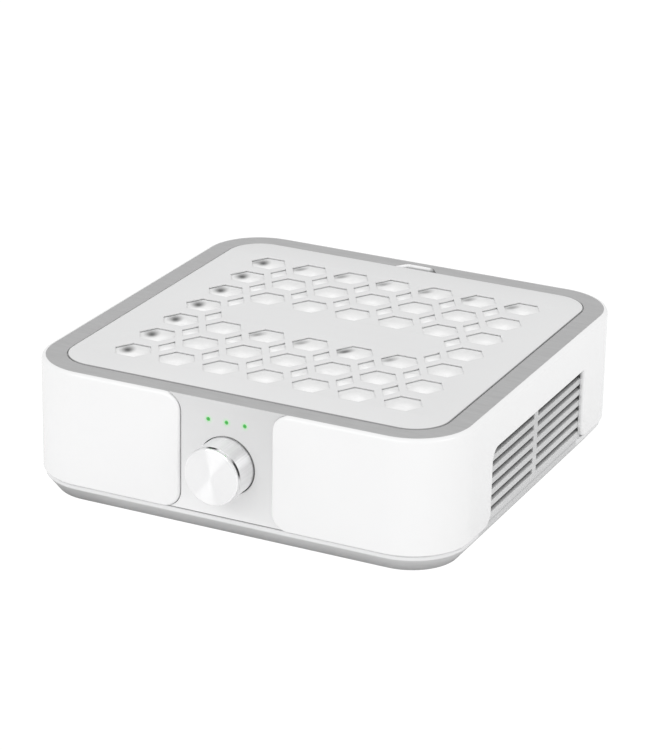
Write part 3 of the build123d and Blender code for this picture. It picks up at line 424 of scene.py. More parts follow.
# ---- Motor ---------------------------------------------------------------------------------------
# Brushless motor: a steel cup with its magnets turns round a wound stator on a die-cast bracket,
# which three screws hold to the tray. Its spindle runs in two bearings.
casting = grained(
    "die_cast_aluminium", (0.6, 0.61, 0.62), 0.5, 0.9, moulded_grain, 0.05 * mm,
    Grain_per_metre=1100.0, Drift_per_metre=60.0,
    Colour=(0.6, 0.61, 0.62), Drifted_colour=(0.52, 0.53, 0.54), Smooth=0.42, Rough=0.62,
)
dress(casting, "motor_bracket")
dress(zinc, "motor_screws", "rotor_cup")
ground_steel = grained(
    "ground_steel", (0.6, 0.6, 0.61), 0.25, 1.0, silver_flakes, 0.01 * mm, even_gloss=True,
    Dark=(0.54, 0.54, 0.55), Light=(0.7, 0.7, 0.71), Rub_marks=(300, 300, 9000),
)
dress(ground_steel, "motor_spindle", "motor_bearings")


def level_ridges(tree, pitch):
    """Rounds or sheets stacked upwards: 0 at each joint and 1 midway between two joints."""
    height = axes_of(on_the_piece(tree))[2]
    return spread(maths("PINGPONG", height, pitch / 2), 0.0, pitch / 2)


# The core is a stack of thin steel sheets, so its edge shows fine level lines.
sheet_thickness = 0.5 * mm
laminations, tree, shader = new_finish("stacked_core_sheets", (0.3, 0.3, 0.31), 0.45, 0.8)
sheet_mask = level_ridges(tree, sheet_thickness)
feed(shader.inputs["Base Color"], blend_colours(sheet_mask, (0.14, 0.14, 0.15), (0.38, 0.38, 0.39)))
relief(sheet_mask, shader, 0.05 * mm)
dress(laminations, "stator_core")

# Enamelled copper: each turn of wire is a rounded ridge, with painted shade between the turns and painted
# light on their crests.
wire = 0.5 * mm
copper, tree, shader = new_finish("enamelled_copper", (0.72, 0.36, 0.18), 0.3, 1.0)
turn_height_and_shade = level_ridges(tree, wire)
feed(shader.inputs["Base Color"], blend_colours(turn_height_and_shade, (0.3, 0.11, 0.04), (0.8, 0.42, 0.2)))
relief(turn_height_and_shade, shader, 0.2 * mm)
dress(copper, "motor_coils")

ferrite = grained(
    "sintered_ferrite", (0.12, 0.12, 0.13), 0.7, 0.0, moulded_grain, 0.05 * mm, Grain_per_metre=2200.0,
    Colour=(0.09, 0.09, 0.1), Drifted_colour=(0.14, 0.14, 0.15), Smooth=0.6, Rough=0.85,
)
dress(ferrite, "rotor_magnet")

# ---- Impeller ------------------------------------------------------------------------------------
# Black glass-filled nylon, moulded in two halves and welded: swept-back blades between a back plate
# and a shroud with an eye. It is pressed over the rotor cup.
nylon = grained(
    "glass_filled_nylon", (0.045, 0.045, 0.048), 0.5, 0.0, moulded_grain, 0.04 * mm,
    Grain_per_metre=1800.0, Drift_per_metre=90.0,
    Colour=(0.04, 0.04, 0.043), Drifted_colour=(0.07, 0.07, 0.074), Smooth=0.4, Rough=0.6,
)
dress(nylon, "impeller")

# ---- Main board ----------------------------------------------------------------------------------
# Green board on the tray with its capacitors and a connector, held by four screws. Tracks show
# through the solder mask as slightly lighter lines.
solder_mask, tree, shader = new_finish("green_solder_mask", (0.03, 0.18, 0.08), 0.35)
tracks = tree.nodes.new("ShaderNodeTexBrick")
tracks.offset = 0.37
for label, value in (
    ("Vector", on_the_piece(tree)),
    ("Scale", 120.0),
    ("Mortar Size", 0.06),
    ("Color1", (0.02, 0.15, 0.06)),
    ("Color2", (0.025, 0.17, 0.07)),
    ("Mortar", (0.06, 0.3, 0.13)),
):
    feed(tracks.inputs[label], value)
feed(shader.inputs["Base Color"], tracks.outputs["Color"])
relief(tracks.outputs["Fac"], shader, 0.03 * mm)
dress(solder_mask, "main_board")
dress(zinc, "board_screws")
sleeve = grained(
    "black_sleeve", (0.035, 0.035, 0.04), 0.3, 0.0, moulded_grain, 0.01 * mm, Drift_per_metre=200.0,
    Colour=(0.03, 0.03, 0.034), Drifted_colour=(0.055, 0.055, 0.06), Smooth=0.22, Rough=0.4,
)
dress(sleeve, "board_components")

# ---- Power inlet ---------------------------------------------------------------------------------
# Black barrel jack with a plated brass pin, clipped into the back wall through the frame and shell.
dress(sleeve, "dc_jack")
brass = grained(
    "plated_brass", (0.75, 0.68, 0.5), 0.25, 1.0, silver_flakes, 0.01 * mm, even_gloss=True,
    Dark=(0.66, 0.58, 0.4), Light=(0.85, 0.79, 0.62), Rub_marks=(3000, 300, 3000),
)
dress(brass, "jack_pin")

# ---- Inner frame ---------------------------------------------------------------------------------
# Square moulded tube that the shell, ring, louvres, panel and deck are fixed to. It is charcoal, with
# outer faces behind the vents painted a lighter grey as painted light, and a light cup under the finger
# notch with a faint painted glow.
frame_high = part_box("inner_frame")[1]
cup_floor = frame_high.z - 12.0 * mm
cup_front = frame_high.y - 18.0 * mm
outer_skin = 1.6 * mm
cup_grey = (0.85, 0.85, 0.85)
cup_painted_glow = (0.9, 0.9, 0.9)
unlit = (0.0, 0.0, 0.0)
frame_finish, tree, shader = new_finish("frame_plastic", (0.1, 0.1, 0.102), 0.6)
place = on_the_piece(tree)
grain = place_effect(
    tree, moulded_grain, Place=place, Grain_per_metre=1600.0,
    Colour=(0.09, 0.09, 0.092), Drifted_colour=(0.12, 0.12, 0.122), Smooth=0.5, Rough=0.65,
)
frame_x, frame_y, frame_z = axes_of(place)
in_cup = product(
    spread(frame_z, cup_floor, cup_floor + 0.2 * mm),
    spread(frame_y, cup_front, cup_front + 0.2 * mm),
)
# Painted light: the outer faces behind the vents are painted grey.
skin_x = frame_high.x - outer_skin
outer_face_painted_light = spread(off_centre(frame_x), skin_x, skin_x + 0.3 * mm)
frame_colour = blend_colours(outer_face_painted_light, grain["Colour"], vent_grey)
wear(shader, blend_colours(in_cup, frame_colour, cup_grey), grain, 0.03 * mm)
# Painted glow in the cup under the notch.
shader.inputs["Emission Strength"].default_value = 0.4
feed(shader.inputs["Emission Color"], blend_colours(in_cup, unlit, cup_painted_glow))
dress(frame_finish, "inner_frame")

# ---- Louvres -------------------------------------------------------------------------------------
# One matt grey moulded panel each side, with two banks of slanted slots. It stands on the tray's rim
# behind the shell and is welded to the frame. It has painted shade inwards and, a little, towards its top.
louvre_low, louvre_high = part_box("louvre_right")
louvre_shade = (0.1, 0.1, 0.1)
shade_depth = 2.6 * mm
shade_foot = 6 * mm
louvre_finish, tree, shader = new_finish("louvre_plastic", vent_grey, 0.5)
place = on_the_piece(tree)
grain = place_effect(
    tree, moulded_grain, Place=place,
    Colour=(0.66, 0.662, 0.665), Drifted_colour=(0.64, 0.642, 0.645), Smooth=0.42, Rough=0.58,
)
louvre_x, _, louvre_z = axes_of(place)
# Painted shade: darker inwards from the outer face, and a little towards the top.
clear_of_painted_shade = spread(off_centre(louvre_x), louvre_high.x - shade_depth, louvre_high.x - 0.3 * mm)
louvre_colour = blend_colours(clear_of_painted_shade, louvre_shade, grain["Colour"])
louvre_painted_shade_upwards = spread(louvre_z, louvre_low.z + shade_foot, louvre_high.z, 1.0, 0.86)
wear(shader, dimmed(louvre_colour, louvre_painted_shade_upwards), grain, 0.02 * mm)
dress(louvre_finish, "louvre_right", "louvre_left")

# ---- Outer shell ---------------------------------------------------------------------------------
# Gloss white ABS band round all four sides, with two round-cornered pads at the front and a cut-out
# over each louvre. It drops over the frame and rests on the lip round its foot.
shell_finish = grained(
    "gloss_white_plastic", (0.88, 0.88, 0.882), 0.2, 0.0, moulded_grain, 0.008 * mm,
    Grain_per_metre=260.0, Drift_per_metre=9.0,
    Colour=(0.865, 0.865, 0.867), Drifted_colour=(0.85, 0.85, 0.852), Smooth=0.17, Rough=0.24,
)
shader = shell_finish.node_tree.nodes["Principled BSDF"]
shader.inputs["Coat Weight"].default_value = 0.3
shader.inputs["Coat Roughness"].default_value = 0.06
shell_low, shell_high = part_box("outer_shell")
shell_centre = (shell_low + shell_high) / 2
shell_half = (shell_high.x - shell_low.x) / 2
shell_corner = 36.5 * mm
shell_wall = 2.5 * mm
skirt_drop = 0.4 * mm
skirt_thickness = 1.35 * mm
top_roll = 2.3 * mm
pad_roll = 1.6 * mm
vent_roll = 1.6 * mm
foot_roll = 1.2 * mm
roll_steps = 7
corner_steps = 24
round_steps = 10
pad_gap = 57.6 * mm
pad_round = 10.5 * mm
near_pad_round = 10.0 * mm
panel_fit = 0.5 * mm
louvre_overlap = 4.0 * mm
vent_drop = 24.8 * mm
vent_front_round = 7.0 * mm
vent_rear_round = 0.8 * mm
vent_flare = 8.0 * mm
jack_low, jack_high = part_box("dc_jack")
flat_half = shell_half - shell_corner
quarter_turn = 2 * flat_half + shell_corner * math.pi / 2


def on_the_band(along, depth, height):
    """Point of the wall: distance from the middle of the front round to the right, and depth in the wall."""
    quarter, rest = divmod(along + flat_half, quarter_turn)
    if rest <= 2 * flat_half:
        x, y = rest - flat_half, depth - shell_half
    else:
        turn = (rest - 2 * flat_half) / shell_corner
        x = flat_half + (shell_corner - depth) * math.sin(turn)
        y = -flat_half - (shell_corner - depth) * math.cos(turn)
    for _ in range(int(quarter) % 4):
        x, y = -y, x
    return shell_centre.x + x, shell_centre.y + y, height


# The wall laid out flat: one strip from the right pad's edge round the back to the left pad's edge.
# Each corner is (distance along, height, rounding, roll of the edge before it, roll of the edge after it).
foot_z = shell_low.z - skirt_drop
vent_z = shell_high.z - vent_drop
vent_near = louvre_low.y + louvre_overlap - shell_centre.y
vent_far = louvre_high.y - louvre_overlap - shell_centre.y
strip_start = pad_gap / 2 - panel_fit
strip_end = 4 * quarter_turn - pad_gap / 2
strip_corners = [(strip_start, foot_z, near_pad_round, pad_roll, foot_roll)]
for vent_start, vent_end, first_round, second_round in (
    (quarter_turn + vent_near, quarter_turn + vent_far, vent_front_round, vent_rear_round),
    (3 * quarter_turn - vent_far, 3 * quarter_turn - vent_near, vent_rear_round, vent_front_round),
):
    strip_corners += [
        (vent_start, foot_z, vent_flare, foot_roll, vent_roll),
        (vent_start, vent_z, first_round, vent_roll, vent_roll),
        (vent_end, vent_z, second_round, vent_roll, vent_roll),
        (vent_end, foot_z, vent_flare, vent_roll, foot_roll),
    ]
strip_corners += [
    (strip_end, foot_z, pad_round, foot_roll, pad_roll),
    (strip_end, shell_high.z, pad_round, pad_roll, top_roll),
    (strip_start, shell_high.z, near_pad_round, top_roll, pad_roll),
]
jack_along = 2 * quarter_turn - ((jack_low.x + jack_high.x) / 2 - shell_centre.x)
columns = [jack_along] + [
    side * quarter_turn + flat_half + step / corner_steps * shell_corner * math.pi / 2
    for side in range(4)
    for step in range(corner_steps + 1)
]
columns.sort()

# Every outline point keeps its place, the direction into the wall's face, and the roll of its edge.
outline = []
foot_at = {}
top_at = {}
for n, (along, height, rounding, roll_before, roll_after) in enumerate(strip_corners):
    here = Vector((along, height))
    came = (here - Vector(strip_corners[n - 1][:2])).normalized()
    leaves = (Vector(strip_corners[(n + 1) % len(strip_corners)][:2]) - here).normalized()
    centre = here + (leaves - came) * rounding
    turns_left = came.x * leaves.y - came.y * leaves.x > 0
    for step in range(round_steps + 1):
        swing = step / round_steps * math.pi / 2
        spoke = came * math.sin(swing) - leaves * math.cos(swing)
        inward = -spoke if turns_left else spoke
        roll = roll_before + (roll_after - roll_before) * step / round_steps
        outline.append((centre + spoke * rounding, inward, roll))
    stop = strip_corners[(n + 1) % len(strip_corners)][0]
    between = [column for column in columns if min(along, stop) < column < max(along, stop)]
    if height in (foot_z, shell_high.z) and leaves.y == 0:
        for column in between if leaves.x > 0 else reversed(between):
            (foot_at if leaves.x > 0 else top_at)[column] = len(outline)
            outline.append((Vector((column, height)), Vector((-leaves.y, leaves.x)), roll_after))

# From here the wall gets its thickness: loops of points that follow the outline from face to back.
shell_points = []
shell_faces = []


def lay_loop(depth_of, back_from_edge, lifted=False):
    """Add one loop of points that follows the whole outline; gives the index of its first point."""
    first = len(shell_points)
    for spot, inward, roll in outline:
        moved = spot + inward * back_from_edge(roll)
        height = max(moved.y, shell_low.z) if lifted else moved.y
        shell_points.append(on_the_band(moved.x, depth_of(roll), height))
    return first


def lay_sheet(loop, depth):
    """Fill a loop with one face per column strip, leaving the hole for the inlet."""
    hole = len(shell_points)
    half = (jack_high.x - jack_low.x) / 2
    for off in (-half, 0, half):
        for height in (jack_low.z, jack_high.z):
            shell_points.append(on_the_band(jack_along + off, depth, height))
    before, after = columns[0], columns[-1]
    faces = [
        [*range(top_at[before], len(outline)), *range(foot_at[before] + 1)],
        [*range(foot_at[after], top_at[after] + 1)],
    ]
    for first, second in zip(columns, columns[1:]):
        face = [*range(foot_at[first], foot_at[second] + 1)]
        if second == jack_along:
            face += [hole - loop + n for n in (2, 0, 1, 3)]
        face += range(top_at[second], top_at[first] + 1)
        if first == jack_along:
            face += [hole - loop + n for n in (3, 5, 4, 2)]
        faces.append(face)
    shell_faces.extend([loop + n for n in face] for face in faces)
    return hole


loops = []
for step in range(roll_steps + 1):
    swing = step / roll_steps * math.pi / 2
    into_wall, from_edge = 1 - math.cos(swing), 1 - math.sin(swing)
    loops.append(lay_loop(
        lambda roll, share=into_wall: roll * share, lambda roll, share=from_edge: roll * share
    ))
loops.append(lay_loop(lambda roll: max(roll + 0.04 * mm, skirt_thickness), lambda roll: 0))
loops.append(lay_loop(lambda roll: max(roll + 0.07 * mm, skirt_thickness), lambda roll: 0, True))
loops.append(lay_loop(lambda roll: shell_wall, lambda roll: 0, True))
for near, far in zip(loops, loops[1:]):
    for n in range(len(outline)):
        m = (n + 1) % len(outline)
        shell_faces.append([near + n, near + m, far + m, far + n])
outer_hole = lay_sheet(loops[0], 0)
inner_hole = lay_sheet(loops[-1], shell_wall)
for n, m in ((0, 2), (2, 4), (4, 5), (5, 3), (3, 1), (1, 0)):
    shell_faces.append([outer_hole + n, outer_hole + m, inner_hole + m, inner_hole + n])


def smooth_mesh(name, shape, sharpest):
    """Mesh of a finished shape, smooth except where faces meet at more than an angle in degrees."""
    mesh = bpy.data.meshes.new(name)
    shape.to_mesh(mesh)
    shape.free()
    mesh.shade_smooth()
    mesh.set_sharp_from_angle(angle=math.radians(sharpest))
    return mesh


def solid_piece(name, points, faces, sharpest):
    """Object from points and faces, with outward faces and normals led by the larger faces."""
    shape = bmesh.new()
    corners = [shape.verts.new(point) for point in points]
    for face in faces:
        shape.faces.new([corners[n] for n in face])
    bmesh.ops.recalc_face_normals(shape, faces=shape.faces)
    rough = new_object(name + "_rough", smooth_mesh(name + "_rough", shape, sharpest))
    even = rough.modifiers.new("even", "WEIGHTED_NORMAL")
    even.keep_sharp = True
    even.weight = 100
    bpy.context.view_layer.update()
    mesh = bpy.data.meshes.new_from_object(rough.evaluated_get(bpy.context.evaluated_depsgraph_get()))
    bpy.data.objects.remove(rough)
    mesh.name = name
    return new_object(name, mesh)


shell = solid_piece("softened_shell", shell_points, shell_faces, 40)
shell.data.materials.append(shell_finish)
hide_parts("outer_shell")
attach(shell, "body")

# ---- Top ring ------------------------------------------------------------------------------------
# Satin silver frame sprayed like the tray. It lies on the inner frame, carries the cover on a ledge,
# and has a finger notch in its back edge: painted light and a faint painted glow inside, painted shade
# at its foot and right end, and a painted lighter inner wall.
notch_half = 15.5 * mm
notch_corner = 7.0 * mm
notch_painted_light = (0.8, 0.8, 0.8)
notch_foot_painted_shade = (0.55, 0.55, 0.55)
notch_end_painted_shade = (0.16, 0.16, 0.16)
inner_wall_painted_light = (0.75, 0.75, 0.752)
painted_glow_white = (1.0, 1.0, 1.0)
cover_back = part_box("cover_grille")[1].y
ring_top = ring_high.z
ring_back = ring_high.y
notch_behind = 1.5 * mm
notch_foot_drop = 2.3 * mm
notch_painted_glow_drop = 2.1 * mm
ring_finish, tree, shader = new_finish("ring_paint", (0.45, 0.45, 0.452), 0.4)
place = on_the_piece(tree)
silver = place_effect(
    tree, silver_flakes, Place=place, Dark=(0.345, 0.345, 0.347), Light=(0.43, 0.43, 0.432),
    Rub_marks=(60, 480, 480),
)
ring_x, ring_y, ring_z = axes_of(place)
# Painted light and shade in the notch: light walls, greyer at their foot and dark at the right end.
inside_notch = product(
    spread(off_centre(ring_x), notch_half, notch_half + 0.5 * mm, 1.0, 0.0),
    spread(ring_z, ring_top - 0.16 * mm, ring_top - 0.06 * mm, 1.0, 0.0),
    spread(ring_y, cover_back, cover_back + 0.5 * mm),
    spread(ring_y, ring_back - notch_behind, ring_back - notch_behind + 0.5 * mm, 1.0, 0.0),
)
right_end = spread(ring_x, notch_corner - 1 * mm, notch_corner + 2.5 * mm)
notch_foot = spread(ring_z, ring_top - notch_foot_drop, ring_top - notch_foot_drop + 0.6 * mm, 1.0, 0.0)
notch_wall = blend_colours(notch_foot, notch_painted_light, notch_foot_painted_shade)
notch_colour = blend_colours(right_end, notch_wall, notch_end_painted_shade)
# Painted light: the ring's inner wall is painted lighter.
ring_reach = maths("MAXIMUM", off_centre(ring_x), off_centre(ring_y))
inner_wall = product(
    spread(ring_z, ring_top - 0.12 * mm, ring_top - 0.04 * mm, 1.0, 0.0),
    spread(ring_reach, cover_back + 0.7 * mm, cover_back + 0.9 * mm, 1.0, 0.0),
)
ring_colour = blend_colours(inner_wall, silver["Colour"], inner_wall_painted_light)
wear(shader, blend_colours(inside_notch, ring_colour, notch_colour), silver, 0.01 * mm)
# Painted glow near the notch's rim.
near_rim = spread(ring_z, ring_top - notch_painted_glow_drop, ring_top - notch_painted_glow_drop + 0.9 * mm)
notch_painted_glow = product(inside_notch, near_rim, maths("SUBTRACT", 1.0, right_end))
shader.inputs["Emission Strength"].default_value = 0.31
feed(shader.inputs["Emission Color"], blend_colours(notch_painted_glow, unlit, painted_glow_white))
dress(ring_finish, "top_ring")

# ---- Fan deck and guard --------------------------------------------------------------------------
# Dark grey floor and walls of the filter's well, with the bell mouth into the fan under a guard of
# rings and spokes. Four screws hold the deck to the frame.
deck_finish = grained(
    "deck_plastic", (0.3, 0.31, 0.32), 0.55, 0.0, moulded_grain, 0.03 * mm, Grain_per_metre=1600.0,
    Colour=(0.29, 0.3, 0.31), Drifted_colour=(0.33, 0.34, 0.35), Smooth=0.48, Rough=0.64,
)
dress(deck_finish, "fan_deck", "fan_guard")
dress(zinc, "deck_screws")

# ---- Control panel -------------------------------------------------------------------------------
# Light grey face between the two pads, set in the frame's window. Behind it stand the small board,
# the potentiometer and three green light pipes. It has painted light below, painted shade a little to the
# right, and a painted green glow round the light pipes.
panel_low, panel_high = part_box("control_panel")
knob_low, knob_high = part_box("knob_cap")
knob_centre = Vector(((knob_low.x + knob_high.x) / 2, 0, (knob_low.z + knob_high.z) / 2))
knob_radius = (knob_high.z - knob_low.z) / 2
bore_radius = knob_radius + 0.35 * mm
lens_low, lens_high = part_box("led_lenses")
lens_radius = (lens_high.z - lens_low.z) / 2
lens_z = (lens_high.z + lens_low.z) / 2
lens_pitch = (lens_high.x - lens_low.x) / 2 - lens_radius
gap_painted_shadow = (0.05, 0.05, 0.05)
painted_green_glow = (0.5, 0.8, 0.5)


def from_nearest_lens(across, height):
    """Distance from the middle line of the nearest of the three light pipes."""
    return length_of(maths("PINGPONG", across, lens_pitch / 2), maths("SUBTRACT", height, lens_z))


panel_finish, tree, shader = new_finish("panel_plastic", (0.74, 0.742, 0.745), 0.4)
place = on_the_piece(tree)
grain = place_effect(
    tree, moulded_grain, Place=place, Drift_per_metre=22.0,
    Colour=(0.745, 0.746, 0.748), Drifted_colour=(0.73, 0.731, 0.733), Smooth=0.34, Rough=0.46,
)
panel_x, _, panel_z = axes_of(place)
# Painted light and shade: lighter below, a little darker to the right.
panel_painted_shading = product(
    spread(panel_z, panel_low.z, panel_high.z, 1.17, 0.9),
    spread(panel_x, 0.0, panel_high.x, 1.0, 0.92),
)

# Thin painted shadow lines stand for the gap round the knob's right side, at the panel's foot and at its
# left edge.
above_axis = maths("SUBTRACT", panel_z, knob_centre.z)
to_the_right = maths("ADD", panel_x, product(above_axis, 0.5))
from_axis = length_of(panel_x, above_axis)
at_bore = product(
    spread(from_axis, bore_radius + 0.1 * mm, bore_radius + 0.7 * mm, 1.0, 0.0),
    spread(to_the_right, 0.2 * bore_radius, 0.7 * bore_radius),
)
at_foot = spread(panel_z, panel_low.z + 0.1 * mm, panel_low.z + 0.3 * mm, 1.0, 0.0)
at_left = spread(panel_x, panel_low.x + 0.25 * mm, panel_low.x + 0.4 * mm, 1.0, 0.0)
in_painted_gap_shadow = maths("MAXIMUM", at_bore, maths("MAXIMUM", at_foot, at_left))
# Painted green glow from the light pipes on the panel round them.
near_lens = product(
    spread(from_nearest_lens(panel_x, panel_z), lens_radius, lens_radius * 2.6, 0.6, 0.0),
    spread(off_centre(panel_x), lens_pitch * 1.45, lens_pitch * 1.5, 1.0, 0.0),
)
panel_colour = blend_colours(near_lens, dimmed(grain["Colour"], panel_painted_shading), painted_green_glow)
wear(shader, blend_colours(in_painted_gap_shadow, panel_colour, gap_painted_shadow), grain, 0.015 * mm)
dress(panel_finish, "control_panel")
dress(solder_mask, "control_board")
dress(sleeve, "potentiometer")

# Each light pipe is a rod with a domed end, brightest in a ring round a deeper green core.
dome = 0.25 * mm
dome_steps = 6


def turned(name, profile, centre, steps):
    """Mesh turned about a line along Y through centre, from (radius, y) points."""
    shape = bmesh.new()
    rings = []
    for radius, y in profile:
        if radius == 0:
            rings.append([shape.verts.new((centre.x, y, centre.z))])
            continue
        turns = [2 * math.pi * n / steps for n in range(steps)]
        rings.append([
            shape.verts.new((centre.x + radius * math.cos(turn), y, centre.z + radius * math.sin(turn)))
            for turn in turns
        ])
    for first, second in zip(rings, rings[1:]):
        for n in range(steps):
            m = (n + 1) % steps
            corners = [ring[k % len(ring)] for ring, k in ((first, n), (second, n), (second, m), (first, m))]
            shape.faces.new(list(dict.fromkeys(corners)))
    bmesh.ops.recalc_face_normals(shape, faces=shape.faces)
    return smooth_mesh(name, shape, 35)


lens_finish, tree, shader = new_finish("lit_green_lens", (0.05, 0.5, 0.14), 0.2)
lens_x, _, lens_height = axes_of(on_the_piece(tree))
lens_ring = spread(from_nearest_lens(lens_x, lens_height), lens_radius * 0.3, lens_radius)
lens_colour = blend_colours(lens_ring, (0.035, 0.24, 0.045), (0.11, 0.6, 0.12))
shader.inputs["Emission Strength"].default_value = 0.3
feed(shader.inputs["Base Color"], lens_colour)
feed(shader.inputs["Emission Color"], lens_colour)
for number in (-1, 0, 1):
    lens_profile = [(0, lens_high.y), (lens_radius, lens_high.y), (lens_radius, lens_low.y + dome)]
    for step in range(1, dome_steps):
        turn = step / dome_steps * math.pi / 2
        lens_profile.append((lens_radius * math.cos(turn), lens_low.y + dome * (1 - math.sin(turn))))
    lens_profile.append((0, lens_low.y))
    lens_mesh = turned("light_pipe", lens_profile, Vector((number * lens_pitch, 0, lens_z)), 32)
    lens_mesh.materials.append(lens_finish)
    lens = new_object(f"light_pipe_{number + 2}", lens_mesh)
    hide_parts("led_lenses")
    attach(lens, "body")

# ---- Speed knob ----------------------------------------------------------------------------------
# Turned aluminium cap with a spun face, a polished bevel and a groove behind its collar. It is pressed
# on a plastic core, which sits on the potentiometer's flatted shaft.
knob_trim = 0.6 * mm
knob_collar = knob_radius - 0.5 * mm
knob_body = knob_radius - 0.2 * mm
collar_length = 1.8 * mm
collar_bevel = 0.6 * mm
groove_width = 1.5 * mm
groove_floor = knob_body - 0.45 * mm
upper_arc_at = math.radians(92)
side_arc_at = math.radians(26)
cap_wall = 1.5 * mm
edge_break = 0.12 * mm
face_y = knob_low.y + knob_trim
collar_y = face_y + collar_length
groove_y = collar_y + groove_width
rear_y = knob_high.y
knob_profile = [
    (0, face_y + cap_wall),
    (knob_body - cap_wall, face_y + cap_wall),
    (knob_body - cap_wall, rear_y),
    (knob_body - edge_break, rear_y),
    (knob_body, rear_y - edge_break),
    (knob_body, groove_y + edge_break),
    (knob_body - edge_break, groove_y),
    (groove_floor, groove_y),
    (groove_floor, collar_y),
    (knob_collar - edge_break, collar_y),
    (knob_collar, collar_y - edge_break),
    (knob_collar, face_y + collar_bevel),
    (knob_collar - collar_bevel + edge_break, face_y + edge_break / 2),
    (knob_collar - collar_bevel - edge_break, face_y),
    (knob_collar * 0.6, face_y),
    (knob_collar * 0.25, face_y),
    (0, face_y),
]
knob_mesh = turned("knob_cap_turned", knob_profile, knob_centre, 160)
knob = new_object("knob_cap_turned", knob_mesh)
knob_finish, tree, shader = new_finish("turned_aluminium", (0.88, 0.88, 0.885), 0.3, 1.0)
shader.inputs["Anisotropic"].default_value = 1.0
shader.inputs["Anisotropic Rotation"].default_value = 0.25
# Painted glow: the face is given a faint emission.
shader.inputs["Emission Strength"].default_value = 0.07
around = tree.nodes.new("ShaderNodeTangent")
around.direction_type = "RADIAL"
around.axis = "Y"
feed(shader.inputs["Tangent"], around.outputs["Tangent"])

# Tool marks: fine lines of uneven brightness across one direction.
tool_marks, given, result = new_effect(
    "tool_marks",
    [("Across", "Float", None), ("Lines per metre", "Float", 9000.0)],
    [("Shade", "Float"), ("Height", "Float")],
)
mark_noise = tool_marks.nodes.new("ShaderNodeTexNoise")
mark_noise.noise_dimensions = "1D"
feed(mark_noise.inputs["Detail"], 4.0)
feed(mark_noise.inputs["W"], given["Across"])
feed(mark_noise.inputs["Scale"], given["Lines per metre"])
feed(result["Shade"], spread(mark_noise.outputs["Fac"], 0.3, 0.7))
feed(result["Height"], mark_noise.outputs["Fac"])

# The face is spun in rings and the body drawn lengthwise; the collar between them is left polished.
# The groove has painted dark reflections along two arcs, one above and one to the right, and the face has a
# faint painted glow.
knob_x, knob_y, knob_z = axes_of(on_the_piece(tree))
knob_up = maths("SUBTRACT", knob_z, knob_centre.z)
knob_turn = maths("ARCTAN2", knob_up, knob_x)
spun = place_effect(tree, tool_marks, Across=length_of(knob_x, knob_up), Lines_per_metre=5200.0)
drawn = place_effect(tree, tool_marks, Across=knob_turn, Lines_per_metre=22.0)
on_face = spread(knob_y, face_y + 0.02 * mm, face_y + 0.08 * mm, 1.0, 0.0)
on_body = spread(knob_y, collar_y, collar_y + 0.1 * mm)
in_groove = product(
    spread(knob_y, collar_y - 0.2 * mm, collar_y),
    spread(knob_y, groove_y, groove_y + 0.1 * mm, 1.0, 0.0),
)
# Painted dark reflections in the groove, along two arcs.
upper_arc = spread(off_centre(knob_turn, upper_arc_at), 0.1, 0.26, 1.0, 0.0)
side_arc = spread(off_centre(knob_turn, side_arc_at), 0.2, 0.4, 1.0, 0.0)
groove_painted_reflection = product(in_groove, maths("ADD", upper_arc, side_arc))
marks = tree.nodes.new("ShaderNodeMix")
feed(marks.inputs["Factor"], on_face)
feed(marks.inputs["A"], product(drawn["Shade"], on_body))
feed(marks.inputs["B"], spun["Shade"])
marked_metal = blend_colours(marks.outputs["Result"], (0.97, 0.97, 0.975), (0.88, 0.88, 0.885))
off_the_collar = maths("ADD", on_face, on_body)
feed(shader.inputs["Base Color"], blend_colours(groove_painted_reflection, marked_metal, (0.08, 0.08, 0.08)))
feed(shader.inputs["Roughness"], spread(off_the_collar, 0.0, 1.0, 0.12, 0.42))
feed(shader.inputs["Metallic"], spread(on_face, 0.0, 1.0, 1.0, 0.72))
feed(shader.inputs["Emission Color"], blend_colours(on_face, unlit, painted_glow_white))
relief(marks.outputs["Result"], shader, 0.004 * mm)
knob_mesh.materials.append(knob_finish)
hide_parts("knob_cap")
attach(knob, "knob")
dress(sleeve, "knob_core")
dress(ground_steel, "knob_shaft")

# ---- Filter --------------------------------------------------------------------------------------
# Pleated paper in a moulded frame on a foam seal, with a white fibre pad laid on top. The frame stands
# in the deck's well, and lifts out with the pad.
filter_plastic = grained(
    "filter_frame_plastic", (0.8, 0.8, 0.79), 0.5, 0.0, moulded_grain, 0.03 * mm, Grain_per_metre=1500.0,
    Colour=(0.8, 0.8, 0.79), Drifted_colour=(0.76, 0.76, 0.75), Smooth=0.42, Rough=0.6,
)
dress(filter_plastic, "filter_frame")

# Laid fibres: long thin ridges that cross at all angles.
laid_fibres, given, result = new_effect(
    "laid_fibres",
    [("Place", "Vector", None), ("Fibres per metre", "Float", 900.0)],
    [("Fibre", "Float"), ("Clump", "Float")],
)
fibre_noise = noise_at(given["Place"], given["Fibres per metre"], 5.0, 2.5)
clump_noise = noise_at(given["Place"], product(given["Fibres per metre"], 0.16), 3.0)
feed(result["Fibre"], spread(off_centre(fibre_noise, 0.5), 0.0, 0.12, 1.0, 0.0))
feed(result["Clump"], spread(clump_noise, 0.3, 0.7))

paper, tree, shader = new_finish("pleated_paper", (0.85, 0.85, 0.83), 0.85)
fibres = place_effect(tree, laid_fibres, Place=on_the_piece(tree), Fibres_per_metre=2400.0)
paper_colour = blend_colours(fibres["Clump"], (0.86, 0.86, 0.84), (0.8, 0.8, 0.77))
feed(shader.inputs["Base Color"], paper_colour)
relief(fibres["Fibre"], shader, 0.04 * mm)
dress(paper, "filter_media")

foam, tree, shader = new_finish("closed_cell_foam", (0.05, 0.05, 0.05), 0.9)
pores = tree.nodes.new("ShaderNodeTexVoronoi")
feed(pores.inputs["Scale"], 1500.0)
feed(pores.inputs["Vector"], on_the_piece(tree))
